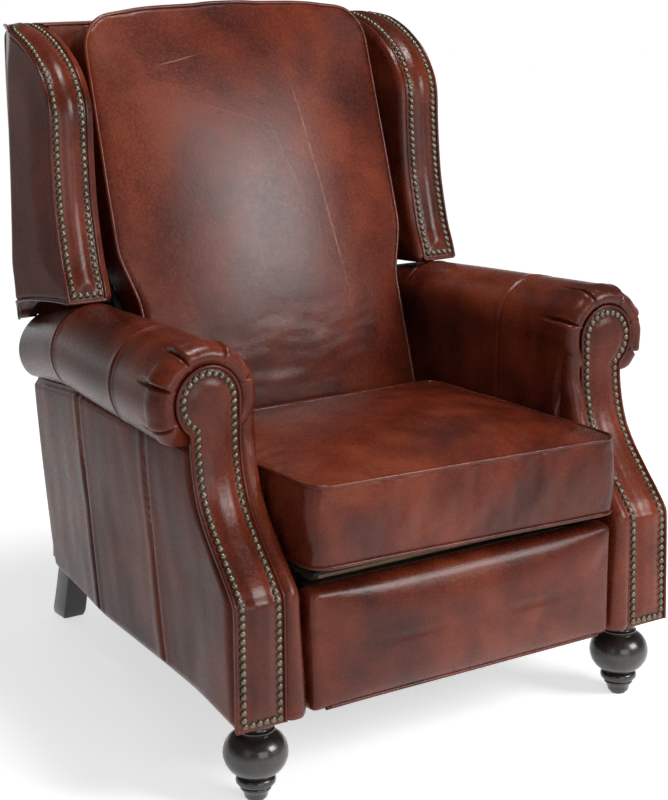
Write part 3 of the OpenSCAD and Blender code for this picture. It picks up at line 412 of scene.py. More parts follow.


# ---------------------------------------------------------------- side panels
# Full-grain cowhide, drum dyed red-brown with a mottled tone and waxed to a gloss, is
# stretched over the outside of each arm in three sewn panels. Their copy of the hide has
# less gloss, and its colour is raised 8 % as painted light for the side away from the lamps.
HIDE_SHADES = [
    (0.38, (0.032, 0.0050, 0.0025)), (0.46, (0.066, 0.0102, 0.0043)),
    (0.53, (0.104, 0.0166, 0.0065)), (0.61, (0.156, 0.0300, 0.0120)),
]
SCAR_DRIFT = 0.006


def leather_finish(name, tone=1.0, gloss=0.0, scars=(), shine=0.26):
    g = finish_of(name)
    flow = g.warp(2.6, 0.16)
    clouds = g.noise(3.6, 4, 0.55, flow)
    blotches = g.noise(15, 5, 0.62, flow)
    fibres = g.noise(230, 4, 0.66, flow)
    mottle = g.math("ADD", g.math("MULTIPLY", blotches, 0.30), g.math("MULTIPLY", fibres, 0.16))
    shade = g.math("ADD", g.math("MULTIPLY", clouds, 0.54), mottle)
    colour = g.ramp(shade, *((at, [c * tone for c in dye]) for at, dye in HIDE_SHADES))
    rubbed = g.span(g.noise(260, 3, 0.7), 0.60, 0.76)
    colour = g.mix(g.math("MULTIPLY", rubbed, 0.09), colour, [c * tone for c in (0.30, 0.11, 0.065)])
    pebble = g.cells(620, g.warp(90, 0.003))
    wrinkle = g.noise(120, 5, 0.66, flow)
    normal = g.bump(wrinkle, 0.34, 0.0010)
    normal = g.bump(pebble, 0.40, 0.0003, normal)
    for x0, z0, x1, z1, wide in scars:
        length = math.hypot(x1 - x0, z1 - z0)
        ux, uz = (x1 - x0) / length, (z1 - z0) / length
        at = g.add("SeparateXYZ", g.warp(7, SCAR_DRIFT))
        dx = g.math("SUBTRACT", at[0], x0 + SCAR_DRIFT / 2)
        dz = g.math("SUBTRACT", at[2], z0 + SCAR_DRIFT / 2)
        run = g.math("ADD", g.math("MULTIPLY", dx, ux), g.math("MULTIPLY", dz, uz))
        off = g.math("ABSOLUTE", g.math("SUBTRACT", g.math("MULTIPLY", dx, uz), g.math("MULTIPLY", dz, ux)))
        ends = g.math("MULTIPLY", g.span(run, 0, 0.06), g.span(run, length - 0.10, length, 1, 0))
        line = g.math("MULTIPLY", g.span(off, wide * 0.25, wide, 1, 0), ends)
        line = g.math("MULTIPLY", line, g.span(g.noise(90, 3), 0.34, 0.55, 0.3, 1.0))
        colour = g.mix(g.math("MULTIPLY", line, 0.5), colour, (0.30, 0.17, 0.13))
        normal = g.bump(line, 0.2, 0.0004, normal)
    rough = g.math("ADD", g.span(fibres, 0.3, 0.7, 0.22 - gloss, 0.31 - gloss), g.math("MULTIPLY", rubbed, 0.05))
    return g.finish(colour, rough, normal, Specular_IOR_Level=shine)


hide = leather_finish("antiqued cowhide")
# Painted light: the outer side panels and wing panels take a copy of the hide with its colour raised 8 %, which stands
# in for light on the side away from the lamps, and with less gloss.
lightened_flank_hide = leather_finish("satin cowhide painted lighter", 1.08, shine=0.12)
BASE_Z = 0.122
FRONT_Y, ARM_END_Y = -0.431, 0.335
INNER_FRONT, INNER_REAR = 0.277, 0.264
FACING_IN, FACING_OUT = 0.316, 0.393
SEAM_Z = [(-0.315, 0.497), (0.100, 0.492), (0.335, 0.458)]
FRONT_LINE = [
    (0.122, -0.431), (0.200, -0.4302), (0.270, -0.4292), (0.294, -0.4284), (0.3025, -0.4262), (0.3095, -0.4212),
    (0.320, -0.4125), (0.334, -0.4002), (0.346, -0.3890), (0.362, -0.3750), (0.392, -0.3500), (0.424, -0.3310),
    (0.460, -0.3200), (0.500, -0.3150), (0.540, -0.3150), (0.620, -0.3150),
]
SIDE_FOOT = [(0, 0), (0.11, 0.15), (0.22, 0.29), (0.35, 0.385), (0.52, 0.49), (0.67, 0.585), (0.84, 0.81), (1, 1)]
SIDE_TOP = [(0, 0), (0.11, 0.02), (0.22, 0.05), (0.35, 0.10), (0.52, 0.24), (0.67, 0.41), (0.84, 0.70), (1, 1)]
SIDE_SEAMS = (-0.163, 0.086)
SIDE_SET_BACK, SIDE_THICK = 0.0104, 0.009
FOOT_SWEEP, TOP_SWEEP = 0.094, 0.061


def follow(table, x):
    """A smooth monotone curve through a table of pairs."""
    xs, ys = np.array([p[0] for p in table], float), np.array([p[1] for p in table], float)
    h, d = np.diff(xs), np.diff(ys) / np.diff(xs)
    m = np.zeros(len(xs))
    for i in range(1, len(xs) - 1):
        if d[i - 1] * d[i] > 0:
            w1, w2 = 2 * h[i] + h[i - 1], h[i] + 2 * h[i - 1]
            m[i] = (w1 + w2) / (w1 / d[i - 1] + w2 / d[i])
    m[0], m[-1] = d[0], d[-1]
    x = np.clip(np.asarray(x, float), xs[0], xs[-1])
    i = np.clip(np.searchsorted(xs, x, "right") - 1, 0, len(xs) - 2)
    t = (x - xs[i]) / h[i]
    return ((2 * t ** 3 - 3 * t ** 2 + 1) * ys[i] + (t ** 3 - 2 * t ** 2 + t) * h[i] * m[i]
            + (3 * t ** 2 - 2 * t ** 3) * ys[i + 1] + (t ** 3 - t ** 2) * h[i] * m[i + 1])


def front_at(z, out=0.0):
    """The point (y, z) of the arm's front line at height z, moved forward by out."""
    e = 0.0008
    slope = (follow(FRONT_LINE, z + e) - follow(FRONT_LINE, z - e)) / (2 * e)
    n = np.array([-1.0, float(slope)]) / math.hypot(1.0, float(slope))
    return float(follow(FRONT_LINE, z)) + n[0] * out, z + n[1] * out


def step(x, lo, hi):
    t = np.clip((np.asarray(x, float) - lo) / (hi - lo), 0, 1)
    return t * t * (3 - 2 * t)


def looked_up(table, x):
    """A straight line from point to point of a table of pairs."""
    return float(np.interp(x, [p[0] for p in table], [p[1] for p in table]))


def seam_z(y):
    return looked_up(SEAM_Z, y)


def merged(digits, *parts):
    """The values of all parts in order, each once."""
    return np.unique(np.round(np.concatenate(parts), digits))


def inner_x(y):
    return INNER_FRONT + (INNER_REAR - INNER_FRONT) * (y - FRONT_Y) / (ARM_END_Y - FRONT_Y)


def thick(outer, inner):
    """Faces of a closed sheet between two grids of points."""
    outer, inner = np.asarray(outer, float), np.asarray(inner, float)
    n, m = outer.shape[:2]
    verts = np.concatenate([outer.reshape(-1, 3), inner.reshape(-1, 3)])
    s = n * m
    faces = []
    for i in range(n - 1):
        for j in range(m - 1):
            a = i * m + j
            faces.append((a, a + 1, a + m + 1, a + m))
            faces.append((s + a, s + a + m, s + a + m + 1, s + a + 1))
    for i in range(n - 1):
        for a in (i * m, i * m + m - 1):
            faces.append((a, a + m, s + a + m, s + a))
    for j in range(m - 1):
        for a in (j, (n - 1) * m + j):
            faces.append((a, a + 1, s + a + 1, s + a))
    return verts, faces


def side_x(share, up):
    foot = FOOT_SWEEP * looked_up(SIDE_FOOT, share)
    top = TOP_SWEEP * looked_up(SIDE_TOP, share)
    smooth_foot = FOOT_SWEEP * float(follow(SIDE_FOOT, share))
    smooth_top = TOP_SWEEP * float(follow(SIDE_TOP, share))
    return FACING_OUT - ((1 - up) * (0.3 * foot + 0.7 * smooth_foot) + up * (0.3 * top + 0.7 * smooth_top))


def side_surface(share, up, inward=0.0):
    z0 = BASE_Z + up * (SEAM_Z[0][1] - BASE_Z)
    y0 = front_at(z0, -SIDE_SET_BACK)[0]
    y = y0 + (ARM_END_Y - y0) * share
    x = side_x(share, up)
    z = BASE_Z + up * (seam_z(y) - BASE_Z)
    pillow = 0.0035 * math.sin(math.pi * min(1, max(0, up))) ** 0.6
    for seam in SIDE_SEAMS:
        d = abs(y - seam)
        pillow -= 0.0030 * math.exp(-(d / 0.0042) ** 2) - 0.0012 * math.exp(-((d - 0.012) / 0.010) ** 2)
    ends = step(share, 0, 0.015) * step(1 - share, 0, 0.012)
    rim = step(up, 0, 0.03) * (0.35 + 0.65 * step(1 - up, 0, 0.035))
    ripple = 0.0014 * noise.noise(Vector((y * 9, z * 4, 3.1))) + 0.0008 * noise.noise(Vector((y * 30, z * 12, 7.7)))
    tuck = 0.006 * (1 - step(up, 0, 0.03)) + 0.007 * (1 - step(1 - up, 0, 0.035)) + 0.004 * (1 - ends)
    return (x + (pillow + ripple) * rim * ends - tuck - inward, y, z)


side_start = front_at(BASE_Z, -SIDE_SET_BACK)[0]
seam_shares = [(seam - side_start) / (ARM_END_Y - side_start) for seam in SIDE_SEAMS]
shares = merged(4, np.linspace(0, 1, 100), [0.004, 0.010, 0.990, 0.996],
                *(s + np.linspace(-0.03, 0.03, 25) for s in seam_shares))
ups = merged(4, np.linspace(0, 1, 64), [0.006, 0.012, 0.02, 0.975, 0.983, 0.991])
outer, inner = [], []
for s in shares:
    outer.append([side_surface(s, u) for u in ups])
    inner.append([side_surface(s, u, SIDE_THICK + (0.0 if s < 0.999 else max(0, side_x(s, u) - 0.300))) for u in ups])
# The side panels take the hide painted 8 % lighter as painted light.
pair("right_side_panel_hide", thick(outer, inner), lightened_flank_hide, "base", "panel_leather", "right_side_panel")


# ---------------------------------------------------------------- arm facings
# A keyhole-shaped strip of hide over thin wadding on a shaped board. It bends back at
# the knee and is closed by welts on both edges and a row of nails inside them.
CAP_X, CAP_Z, CAP_R = 0.366, 0.558, 0.050
# The welts use a copy of the hide 15 % darker and a little glossier.
welt_hide = leather_finish("welt cowhide", 0.85, 0.06)


def facing_sides(z):
    left, right = FACING_IN, FACING_OUT
    if z > CAP_Z - 0.0416:
        reach = math.sqrt(max(0.0, CAP_R ** 2 - (z - CAP_Z) ** 2))
        right = CAP_X + reach
        if z > CAP_Z:
            left = CAP_X - reach
    return left, right


def facing_rise(edge):
    """How far the padded strip stands forward of its board's line, by distance from its edge."""
    return float(-0.0022 + 0.0017 * step(edge, 0.003, 0.008) + 0.0042 * step(edge, 0.0125, 0.030))


def eased_steps(count):
    """Steps from 0 to 1 that are small at both ends."""
    return 0.5 - 0.5 * np.cos(np.linspace(0, math.pi, count))


levels = np.concatenate([
    np.linspace(BASE_Z, 0.27, 22)[:-1], np.linspace(0.27, 0.35, 26)[:-1], np.linspace(0.35, 0.516, 34)[:-1],
    CAP_Z + CAP_R * np.sin(np.linspace(math.asin(-0.84), math.pi / 2 - 0.06, 30))])
outer, inner = [], []
for z in levels:
    lo, hi = facing_sides(z)
    row_out, row_in = [], []
    for u in eased_steps(29):
        x = lo + (hi - lo) * u
        edge = min(x - lo, hi - x, CAP_Z + CAP_R - z if z > CAP_Z else 1, z - BASE_Z + 0.001)
        if z > CAP_Z - 0.02:
            edge = min(edge, max(0.0, CAP_R - math.hypot(x - CAP_X, z - CAP_Z))) if z > CAP_Z else edge
        rise = facing_rise(edge) + 0.0005 * noise.noise(Vector((x * 30, z * 22, 1.7)))
        knee = 0.0022 * math.exp(-((z - 0.306) / 0.006) ** 2) * step(edge, 0.006, 0.02)
        row_out.append((x, *front_at(z, rise - knee)))
        row_in.append((x, *front_at(z, -0.0098)))
    outer.append(row_out)
    inner.append(row_in)
pair("right_arm_facing_hide", thick(outer, inner), hide, "base", "panel_leather", "right_arm_facing")


def resampled(path, spacing, closed=False):
    path = np.asarray(path, float)
    if closed:
        path = np.concatenate([path, path[:1]])
    run = np.concatenate([[0], np.cumsum(np.linalg.norm(np.diff(path, axis=0), axis=1))])
    n = max(3, int(round(run[-1] / spacing)))
    at = np.linspace(0, run[-1], n + 1)
    out = np.stack([np.interp(at, run, path[:, k]) for k in range(3)], 1)
    return out[:-1] if closed else out


def cord_tube(path, radius, closed=False, spacing=0.006, sides=10):
    """A round tube along a path, with its ends closed."""
    p = resampled(path, spacing, closed)
    n = len(p)
    ahead = np.roll(p, -1, 0) - np.roll(p, 1, 0)
    if not closed:
        ahead[0], ahead[-1] = p[1] - p[0], p[-1] - p[-2]
    ahead /= np.linalg.norm(ahead, axis=1)[:, None]
    side = np.cross(ahead[0], (0, 0, 1) if abs(ahead[0][2]) < 0.9 else (1, 0, 0))
    side /= np.linalg.norm(side)
    frames = []
    for k in range(n):
        side = side - ahead[k] * side.dot(ahead[k])
        side /= np.linalg.norm(side)
        frames.append((side, np.cross(ahead[k], side)))
    if closed:
        a, b = frames[0]
        side = frames[-1][0] - ahead[0] * frames[-1][0].dot(ahead[0])
        twist = math.atan2(side.dot(b), side.dot(a))
    else:
        twist = 0.0
    angles = np.linspace(0, 2 * math.pi, sides, endpoint=False)
    stack = []
    for k in range(n):
        s, u = frames[k]
        turn = angles - twist * k / n
        stack.append([p[k] + radius * (math.cos(a) * s + math.sin(a) * u) for a in turn])
    if not closed:
        return rings(stack)
    stack = np.asarray(stack)
    verts = stack.reshape(-1, 3)
    faces = []
    for k in range(n):
        for j in range(sides):
            k2, j2 = (k + 1) % n, (j + 1) % sides
            faces.append((k * sides + j, k * sides + j2, k2 * sides + j2, k2 * sides + j))
    return verts, faces


def facing_outline(inset, low, out=0.0):
    """The path round the keyhole, inset from its edge, from the bottom inside to the bottom outside."""
    path = []
    for z in np.linspace(low, CAP_Z, 90):
        path.append((FACING_IN + inset, z))
    r = CAP_R - inset
    turn = math.acos((FACING_OUT - inset - CAP_X) / r)
    for a in np.linspace(math.pi, -turn, 60)[1:]:
        path.append((CAP_X + r * math.cos(a), CAP_Z + r * math.sin(a)))
    for z in np.linspace(path[-1][1], low, 80)[1:]:
        path.append((FACING_OUT - inset, z))
    return [(x, *front_at(z, out)) for x, z in path]


WELT_R = 0.0026
pair("right_arm_facing_welt", cord_tube(facing_outline(-0.0004, BASE_Z + 0.001, -0.0016), WELT_R), welt_hide,
     "base", "panel_leather", sharp=80)


# ---------------------------------------------------------------- arm nails
# Antiqued brass upholstery nails with low domed heads, driven side by side through
# the facing into its board, 9.5 mm inside the welts and along the bottom.
NAIL_D, NAIL_PITCH, NAIL_RISE = 0.0108, 0.0111, 0.0044

g = finish_of("antique brass")
tarnish = g.noise(700, 3, 0.6)
patches = g.noise(60, 3)
brass = g.finish(
    g.mix(g.span(patches, 0.35, 0.65, 0.1, 0.7),
          g.ramp(tarnish, (0.3, (0.115, 0.098, 0.064)), (0.7, (0.235, 0.205, 0.145))), (0.078, 0.070, 0.052)),
    g.span(tarnish, 0.3, 0.7, 0.26, 0.45), g.bump(tarnish, 0.15, 0.0002), Metallic=0.9,
)


def nail_tree():
    tree = bpy.data.node_groups.new("nail row", "GeometryNodeTree")
    tree.interface.new_socket("Path", in_out="INPUT", socket_type="NodeSocketGeometry")
    for label, value in (("Head Diameter", NAIL_D), ("Pitch", NAIL_PITCH), ("Head Rise", NAIL_RISE)):
        s = tree.interface.new_socket(label, in_out="INPUT", socket_type="NodeSocketFloat")
        s.default_value = value
    tree.interface.new_socket("Nails", in_out="OUTPUT", socket_type="NodeSocketGeometry")
    given = add_node(tree, "NodeGroupInput")
    curve = add_node(tree, "GeometryNodeMeshToCurve", given["Path"])[0]
    even = add_node(tree, "GeometryNodeResampleCurve", curve, mode="LENGTH", Length=given["Pitch"])[0]
    radius = add_node(tree, "ShaderNodeMath", given["Head Diameter"], 0.5, operation="MULTIPLY")[0]
    head = add_node(tree, "GeometryNodeMeshUVSphere", 12, 8, radius)["Mesh"]
    squash = add_node(tree, "ShaderNodeMath", given["Head Rise"], radius, operation="DIVIDE")[0]
    flat = add_node(tree, "ShaderNodeCombineXYZ", 1.0, 1.0, squash)[0]
    lean = add_node(tree, "GeometryNodeInputNamedAttribute", data_type="FLOAT_VECTOR", Name="lean")[0]
    turn = add_node(tree, "FunctionNodeAlignEulerToVector", axis="Z", Vector=lean)[0]
    heads = add_node(tree, "GeometryNodeInstanceOnPoints", even, Instance=head, Rotation=turn, Scale=flat)[0]
    real = add_node(tree, "GeometryNodeRealizeInstances", heads)[0]
    smooth = add_node(tree, "GeometryNodeSetShadeSmooth", real)[0]
    add_node(tree, "NodeGroupOutput", add_node(tree, "GeometryNodeSetMaterial", smooth, Material=brass)[0])
    return tree


NAIL_TREE = nail_tree()


def solid_copy(obj):
    """A mesh of the object as its modifiers leave it."""
    return bpy.data.meshes.new_from_object(obj.evaluated_get(bpy.context.evaluated_depsgraph_get()))


def nails(name, paths, body):
    """Rows of nails: each path is a list of (point, lean) pairs."""
    verts, edges, leans = [], [], []
    for path in paths:
        start = len(verts)
        for point, lean in path:
            verts.append(tuple(point))
            leans += list(lean)
        edges += [(k, k + 1) for k in range(start, len(verts) - 1)]
    mesh = bpy.data.meshes.new(name)
    mesh.from_pydata(verts, edges, [])
    mesh.attributes.new("lean", "FLOAT_VECTOR", "POINT").data.foreach_set("vector", leans)
    rows = placed(name + " path", mesh)
    rows.modifiers.new("nails", "NODES").node_group = NAIL_TREE
    real = solid_copy(rows)
    real.name = name
    bpy.data.objects.remove(rows)
    return placed(name, real, body)


def flip(path):
    return [((-p[0], p[1], p[2]), (-n[0], n[1], n[2])) for p, n in path]


def nail_pair(name, paths, body, node):
    """The nails on the right and their mirror image on the left."""
    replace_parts(nails(name, paths, body), node)
    left = nails(name.replace("right", "left"), [flip(p) for p in paths], body)
    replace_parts(left, node.replace("right", "left"))


def with_lean(points):
    out = []
    for x, y, z in points:
        y1, z1 = front_at(z, 0.01)
        n = np.array([0, y1 - front_at(z)[0], z1 - z])
        out.append(((x, y, z), n / np.linalg.norm(n)))
    return out


NAIL_INSET = 0.0095
low_z = BASE_Z + NAIL_INSET
arm_row = facing_outline(NAIL_INSET, low_z, -0.0012)
for x in np.linspace(FACING_OUT - NAIL_INSET, FACING_IN + NAIL_INSET + 0.011, 6)[1:]:
    arm_row.append((x, front_at(low_z, -0.0012)[0], low_z))
nail_pair("right_arm_nail_heads", [with_lean(arm_row)], "base", "right_arm_nails")


# ---------------------------------------------------------------- arm linings
# The inside of each arm: a tall narrow pad beside the facing, stuffed hard, and the
# flat hide lining behind it that runs back to the hinge between arm and back.
PAD_SECTION = [
    (0.3158, -0.0260), (0.3158, -0.0060), (0.3150, -0.0015), (0.3125, 0.0022), (0.3085, 0.0046), (0.3035, 0.0058),
    (0.2980, 0.0058), (0.2920, 0.0046), (0.2865, 0.0018), (0.2822, -0.0025), (0.2795, -0.0080), (0.2781, -0.0150),
    (0.2776, -0.0250), (0.2778, -0.0480), (0.2900, -0.0510), (0.3050, -0.0480),
]
PAD_MID_X = 0.3005
LINING_SEAMS = (-0.148, 0.107)
LINING_LOW, LINING_TOP = 0.300, 0.440


def catmull_point(a, b, c, d, t):
    """A point of the smooth curve from b to c, which also heeds the points before and after."""
    return 0.5 * ((2 * b) + (c - a) * t + (2 * a - 5 * b + 4 * c - d) * t * t + (3 * b - a - 3 * c + d) * t ** 3)


def rounded_ring(points, each):
    """A closed Catmull-Rom ring through the points."""
    p = np.asarray(points, float)
    out = []
    for k in range(len(p)):
        near = p[k - 1], p[k], p[(k + 1) % len(p)], p[(k + 2) % len(p)]
        out += [catmull_point(*near, t) for t in np.arange(each) / each]
    return np.array(out)


stack = []
section = rounded_ring(PAD_SECTION, 2)
for z in np.concatenate([[0.1240, 0.1255, 0.1280], np.linspace(0.132, 0.540, 92), [0.5460, 0.5500, 0.5530]]):
    ease = min(1.0, 0.90 + 0.1 * step(z, 0.124, 0.130)) * (1 - 0.25 * step(z, 0.543, 0.553))
    narrow = 1 - 0.24 * float(step(z, 0.13, 0.30))
    back = 0.005 * float(step(z, 0.462, 0.505))
    ring = []
    for x, out in section:
        x = FACING_IN - (FACING_IN - x) * narrow
        wave = 0.0008 * noise.noise(Vector((x * 20, z * 22, 5.0)))
        y, zz = front_at(z, (out + 0.018) * ease - 0.018 + wave - back)
        ring.append((PAD_MID_X + (x - PAD_MID_X) * ease, y, min(zz, 0.556)))
    stack.append(ring)
pair("right_arm_front_pad", rings(stack), hide, "base", "panel_leather", "right_arm_lining")

outer, inner = [], []
for share in np.concatenate([[0, 0.006], np.linspace(0.012, 0.985, 70), [0.993, 1.0]]):
    row_out, row_in = [], []
    for up in np.concatenate([[0, 0.02], np.linspace(0.05, 0.95, 28), [0.975, 1.0]]):
        z = LINING_LOW + up * (LINING_TOP - LINING_LOW)
        front_edge = front_at(z, -0.030)[0]
        y = front_edge + (ARM_END_Y - 0.001 - front_edge) * share
        rim = step(share, 0, 0.02) * step(1 - share, 0, 0.02) * step(1 - up, 0, 0.08) * step(up, 0, 0.05)
        seam_cut = sum(0.0022 * math.exp(-((y - s) / 0.0042) ** 2) for s in LINING_SEAMS)
        swell = 0.0045 * rim - seam_cut + 0.001 * noise.noise(Vector((y * 14, z * 14, 9.2)))
        row_out.append((inner_x(y) + 0.004 * (1 - rim) - swell + 0.0085, y, z))
        row_in.append((inner_x(y) + 0.0116, y, z))
    outer.append(row_out)
    inner.append(row_in)
pair("right_arm_lining_hide", thick(outer, inner), hide, "base", "panel_leather")


# ---------------------------------------------------------------- arm rolls
# Each arm ends in a stuffed roll. Its front is drawn round the facing in hand-laid
# pleats, two sewn seams cross it, and behind them it narrows and sinks to the back.
ROLL_LINE = [(-0.300, 0.366, 0.558, 0.0835), (-0.080, 0.3505, 0.5560, 0.0765), (0.100, 0.335, 0.553, 0.0702),
             (0.335, 0.296, 0.509, 0.0620)]
PLEATS = (-27, 20, 60, 112, 157)
WALL_LOW = 0.408
ROLL_ENDS = [(0.3310, 0.985), (0.3338, 0.955), (0.3350, 0.90)]
NOSE = [
    (-0.3030, 0.046), (-0.3065, 0.0500), (-0.3110, 0.0535), (-0.3148, 0.0575), (-0.3166, 0.0620), (-0.3168, 0.0665),
    (-0.3150, 0.0712), (-0.3115, 0.0755), (-0.3065, 0.0790), (-0.3000, 0.0815), (-0.2925, 0.0832), (-0.2840, 0.0838),
]


def roll_centre(y):
    keys = [p[0] for p in ROLL_LINE]
    straight = [float(np.interp(y, keys, [p[k] for p in ROLL_LINE])) for k in (1, 2, 3)]
    bowed = [float(follow([(p[0], p[k]) for p in ROLL_LINE], y)) for k in (1, 2, 3)]
    return [0.5 * (a + b) for a, b in zip(straight, bowed)]


def soft_floor(value, floor_value, blend):
    """The larger of two lengths, with a rounded change from one to the other."""
    over = (value - floor_value) / blend
    return value if over > 20 else floor_value + blend * math.log1p(math.exp(over))


rows = [(y, r, 1.0) for y, r in NOSE]
for y in merged(5, np.linspace(-0.276, 0.327, 96), *(s + np.linspace(-0.014, 0.014, 17) for s in LINING_SEAMS)):
    rows.append((float(y), None, 1.0))
rows += [(y, None, end) for y, end in ROLL_ENDS]
ANGLES = merged(2, np.linspace(-180, 180, 133)[:-1], np.arange(-165, -154, 2),
                *(p + np.array([-6, -4, -2.5, -1.2, 0, 1.2, 2.5, 4, 6]) for p in PLEATS))
ANGLES = ANGLES[(ANGLES >= -180) & (ANGLES < 180)]
stack = []
for y, nose, end in rows:
    cx, cz, r = roll_centre(max(y, -0.284))
    if nose:
        cx, cz, r = CAP_X, CAP_Z, nose
    ring = []
    cut = sum(0.0022 * math.exp(-((y - s) / 0.0032) ** 2) for s in LINING_SEAMS)
    wall_x = inner_x(y) + 0.0032
    wall = y > -0.296
    left_x = soft_floor(cx - r * end, wall_x, 0.0035)
    for a in ANGLES:
        if wall and a < -96:
            q = (a + 180) / 84
            down = min(1.0, q / 0.55)
            x = left_x + (wall_x - left_x) * float(step(q, 0, 0.30)) + cut + 0.0074 * float(step(q, 0.53, 0.62))
            x += 0.0010 * noise.noise(Vector((2.2, y * 9, q * 3)))
            z = cz + (WALL_LOW - cz) * down
            if q > 0.60:
                z = WALL_LOW + (seam_z(y) + 0.002 - WALL_LOW) * min(1.0, (q - 0.60) / 0.30)
            if q > 0.90:
                x += (cx - 0.02 - x) * (q - 0.90) / 0.10
            ring.append((x, y, z))
            continue
        t = math.radians(a)
        radius = r * end
        grip = step(r, 0.052, 0.066) * (1 - step(y, -0.292, -0.236)) if nose or y < -0.23 else 0.0
        if grip > 0:
            for pl in PLEATS:
                d = (a - pl + 180) % 360 - 180
                radius += grip * (-0.0075 * math.exp(-(d / 1.7) ** 2) + 0.0026 * math.exp(-((d - 5.5) / 4.5) ** 2)
                                  - 0.0012 * math.exp(-((d + 7) / 5.0) ** 2))
            radius += grip * 0.0010 * noise.noise(Vector((math.cos(t) * 3.2, math.sin(t) * 3.2, y * 20)))
        for s in LINING_SEAMS:
            d = y - s
            radius += (-0.0024 * math.exp(-(d / 0.0030) ** 2) + 0.0010 * math.exp(-((d - 0.007) / 0.005) ** 2)
                       + 0.0010 * math.exp(-((d + 0.007) / 0.005) ** 2))
        radius += 0.0016 * noise.noise(Vector((cx + 0.10 * math.cos(t) * 6, y * 7, 0.1 * math.sin(t) * 6)))
        x = cx + radius * math.cos(t)
        z = cz + radius * math.sin(t)
        yy = y
        if nose:
            down = (a + 90 + 180) % 360 - 180
            open_side = 1 - step(abs(down), 28, 62)
            yy = y + (max(0.0, -0.3035 - y)) * open_side
        x = soft_floor(x, wall_x, 0.0035)
        z = soft_floor(z, seam_z(y) + 0.0012, 0.0040)
        ring.append((x, yy, z))
    stack.append(ring)
pair("right_arm_roll_hide", rings(stack), hide, "base", "panel_leather", "right_arm_roll", 75)


# ---------------------------------------------------------------- base back panel
# A low strip of hide over board closes the rear of the base between the arms, below
# the reclining back.
def eased(outline, x0, x1, edge):
    """A block on an outline in y and z, with all its edges rounded."""
    bm = bmesh.new()
    face = bm.faces.new([bm.verts.new((x0, y, z)) for y, z in outline])
    out = bmesh.ops.extrude_face_region(bm, geom=[face])["geom"]
    bmesh.ops.translate(bm, vec=(x1 - x0, 0, 0), verts=[v for v in out if isinstance(v, bmesh.types.BMVert)])
    bmesh.ops.bevel(bm, geom=bm.edges[:], offset=edge, segments=4, profile=0.5, affect="EDGES")
    bm.verts.index_update()
    verts = [tuple(v.co) for v in bm.verts]
    faces = [[v.index for v in f.verts] for f in bm.faces]
    bm.free()
    return verts, faces


strip = eased([(0.392, 0.122), (0.404, 0.122), (0.404, 0.262), (0.392, 0.262)], -0.262, 0.262, 0.004)
stands_for(piece("base_back_panel_hide", *strip, hide, "base", 60, "panel_leather"), "base_back_panel")


# ---------------------------------------------------------------- seat cushion
# A loose box cushion of feather and foam in hide: a crowned top, a border drawn in
# between two welts, and gathers where the border was eased under the upper welt.
def rounded_outline(corners, radii, spacing):
    """A closed outline with round corners, at an even spacing."""
    pts = []
    n = len(corners)
    for k in range(n):
        a, b, c = (np.array(corners[(k + i) % n], float) for i in (-1, 0, 1))
        r = radii[k]
        u, v = (a - b) / np.linalg.norm(a - b), (c - b) / np.linalg.norm(c - b)
        half = math.acos(float(np.clip(u.dot(v), -1, 1))) / 2
        if r <= 0 or abs(half - math.pi / 2) < 1e-3:
            pts.append(b)
            continue
        centre = b + (u + v) / np.linalg.norm(u + v) * r / math.sin(half)
        p, q = b + u * r / math.tan(half), b + v * r / math.tan(half)
        for t in np.linspace(0, 1, 13):
            m = p + (q - p) * t - centre
            pts.append(centre + m / np.linalg.norm(m) * r)
    pts = np.array([(p[0], p[1], 0) for p in pts])
    return resampled(pts, spacing, True)[:, :2]


def shrink(outline, middle, share):
    return middle + (outline - middle) * share


SIM_FRAMES, STIFF, WELT_LIFT = 20, 22.0, 0.0006


def inflated(verts, faces, voxel, pinned, cap, pressure, slack, name, still):
    """Remeshes a closed form evenly, holds it along the pinned paths and blows it up as cloth."""
    mesh = bpy.data.meshes.new(name)
    mesh.from_pydata([tuple(v) for v in verts], [], faces)
    obj = placed(name, mesh)
    mod = obj.modifiers.new("even", "REMESH")
    mod.mode = "VOXEL"
    mod.voxel_size = voxel
    mod.use_smooth_shade = True
    even = solid_copy(obj)
    obj.modifiers.clear()
    obj.data = even
    start = point_rows(even.vertices)
    tree = kdtree.KDTree(sum(len(p) for p in pinned))
    for k, point in enumerate(p for path in pinned for p in path):
        tree.insert(Vector(point), k)
    tree.balance()
    held = [k for k, p in enumerate(start) if still(p) or tree.find(Vector(p))[2] < voxel * 1.25]
    obj.vertex_groups.new(name="held").add(held, 1.0, "REPLACE")
    cloth = obj.modifiers.new("cloth", "CLOTH")
    s = cloth.settings
    s.quality = 6
    s.mass = 0.25
    s.tension_stiffness = s.compression_stiffness = STIFF
    s.shear_stiffness = STIFF * 0.5
    s.bending_stiffness = 8.0
    s.use_pressure = True
    s.uniform_pressure_force = pressure
    s.shrink_min = -slack
    s.vertex_group_mass = "held"
    s.effector_weights.gravity = 0.0
    cloth.point_cache.frame_start, cloth.point_cache.frame_end = 1, SIM_FRAMES
    for f in range(1, SIM_FRAMES + 1):
        scene.frame_set(f)
    moved = obj.evaluated_get(bpy.context.evaluated_depsgraph_get())
    travel = point_rows(moved.data.vertices) - start
    length = np.linalg.norm(travel, axis=1)[:, None]
    travel *= np.minimum(1.0, cap / np.maximum(length, 1e-9))
    start = start + travel
    obj.modifiers.clear()
    obj.vertex_groups.clear()
    scene.frame_set(1)
    even.vertices.foreach_set("co", start.ravel())
    even.update()
    return obj


def finish_soft(obj, material, body):
    """One level of subdivision, applied, then the finish and the body."""
    mod = obj.modifiers.new("smooth", "SUBSURF")
    mod.levels = mod.render_levels = 1
    fine = solid_copy(obj)
    obj.modifiers.clear()
    old = obj.data
    obj.data = fine
    bpy.data.meshes.remove(old)
    fine.polygons.foreach_set("use_smooth", [True] * len(fine.polygons))
    fine.materials.clear()
    fine.materials.append(material)
    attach(obj, body)


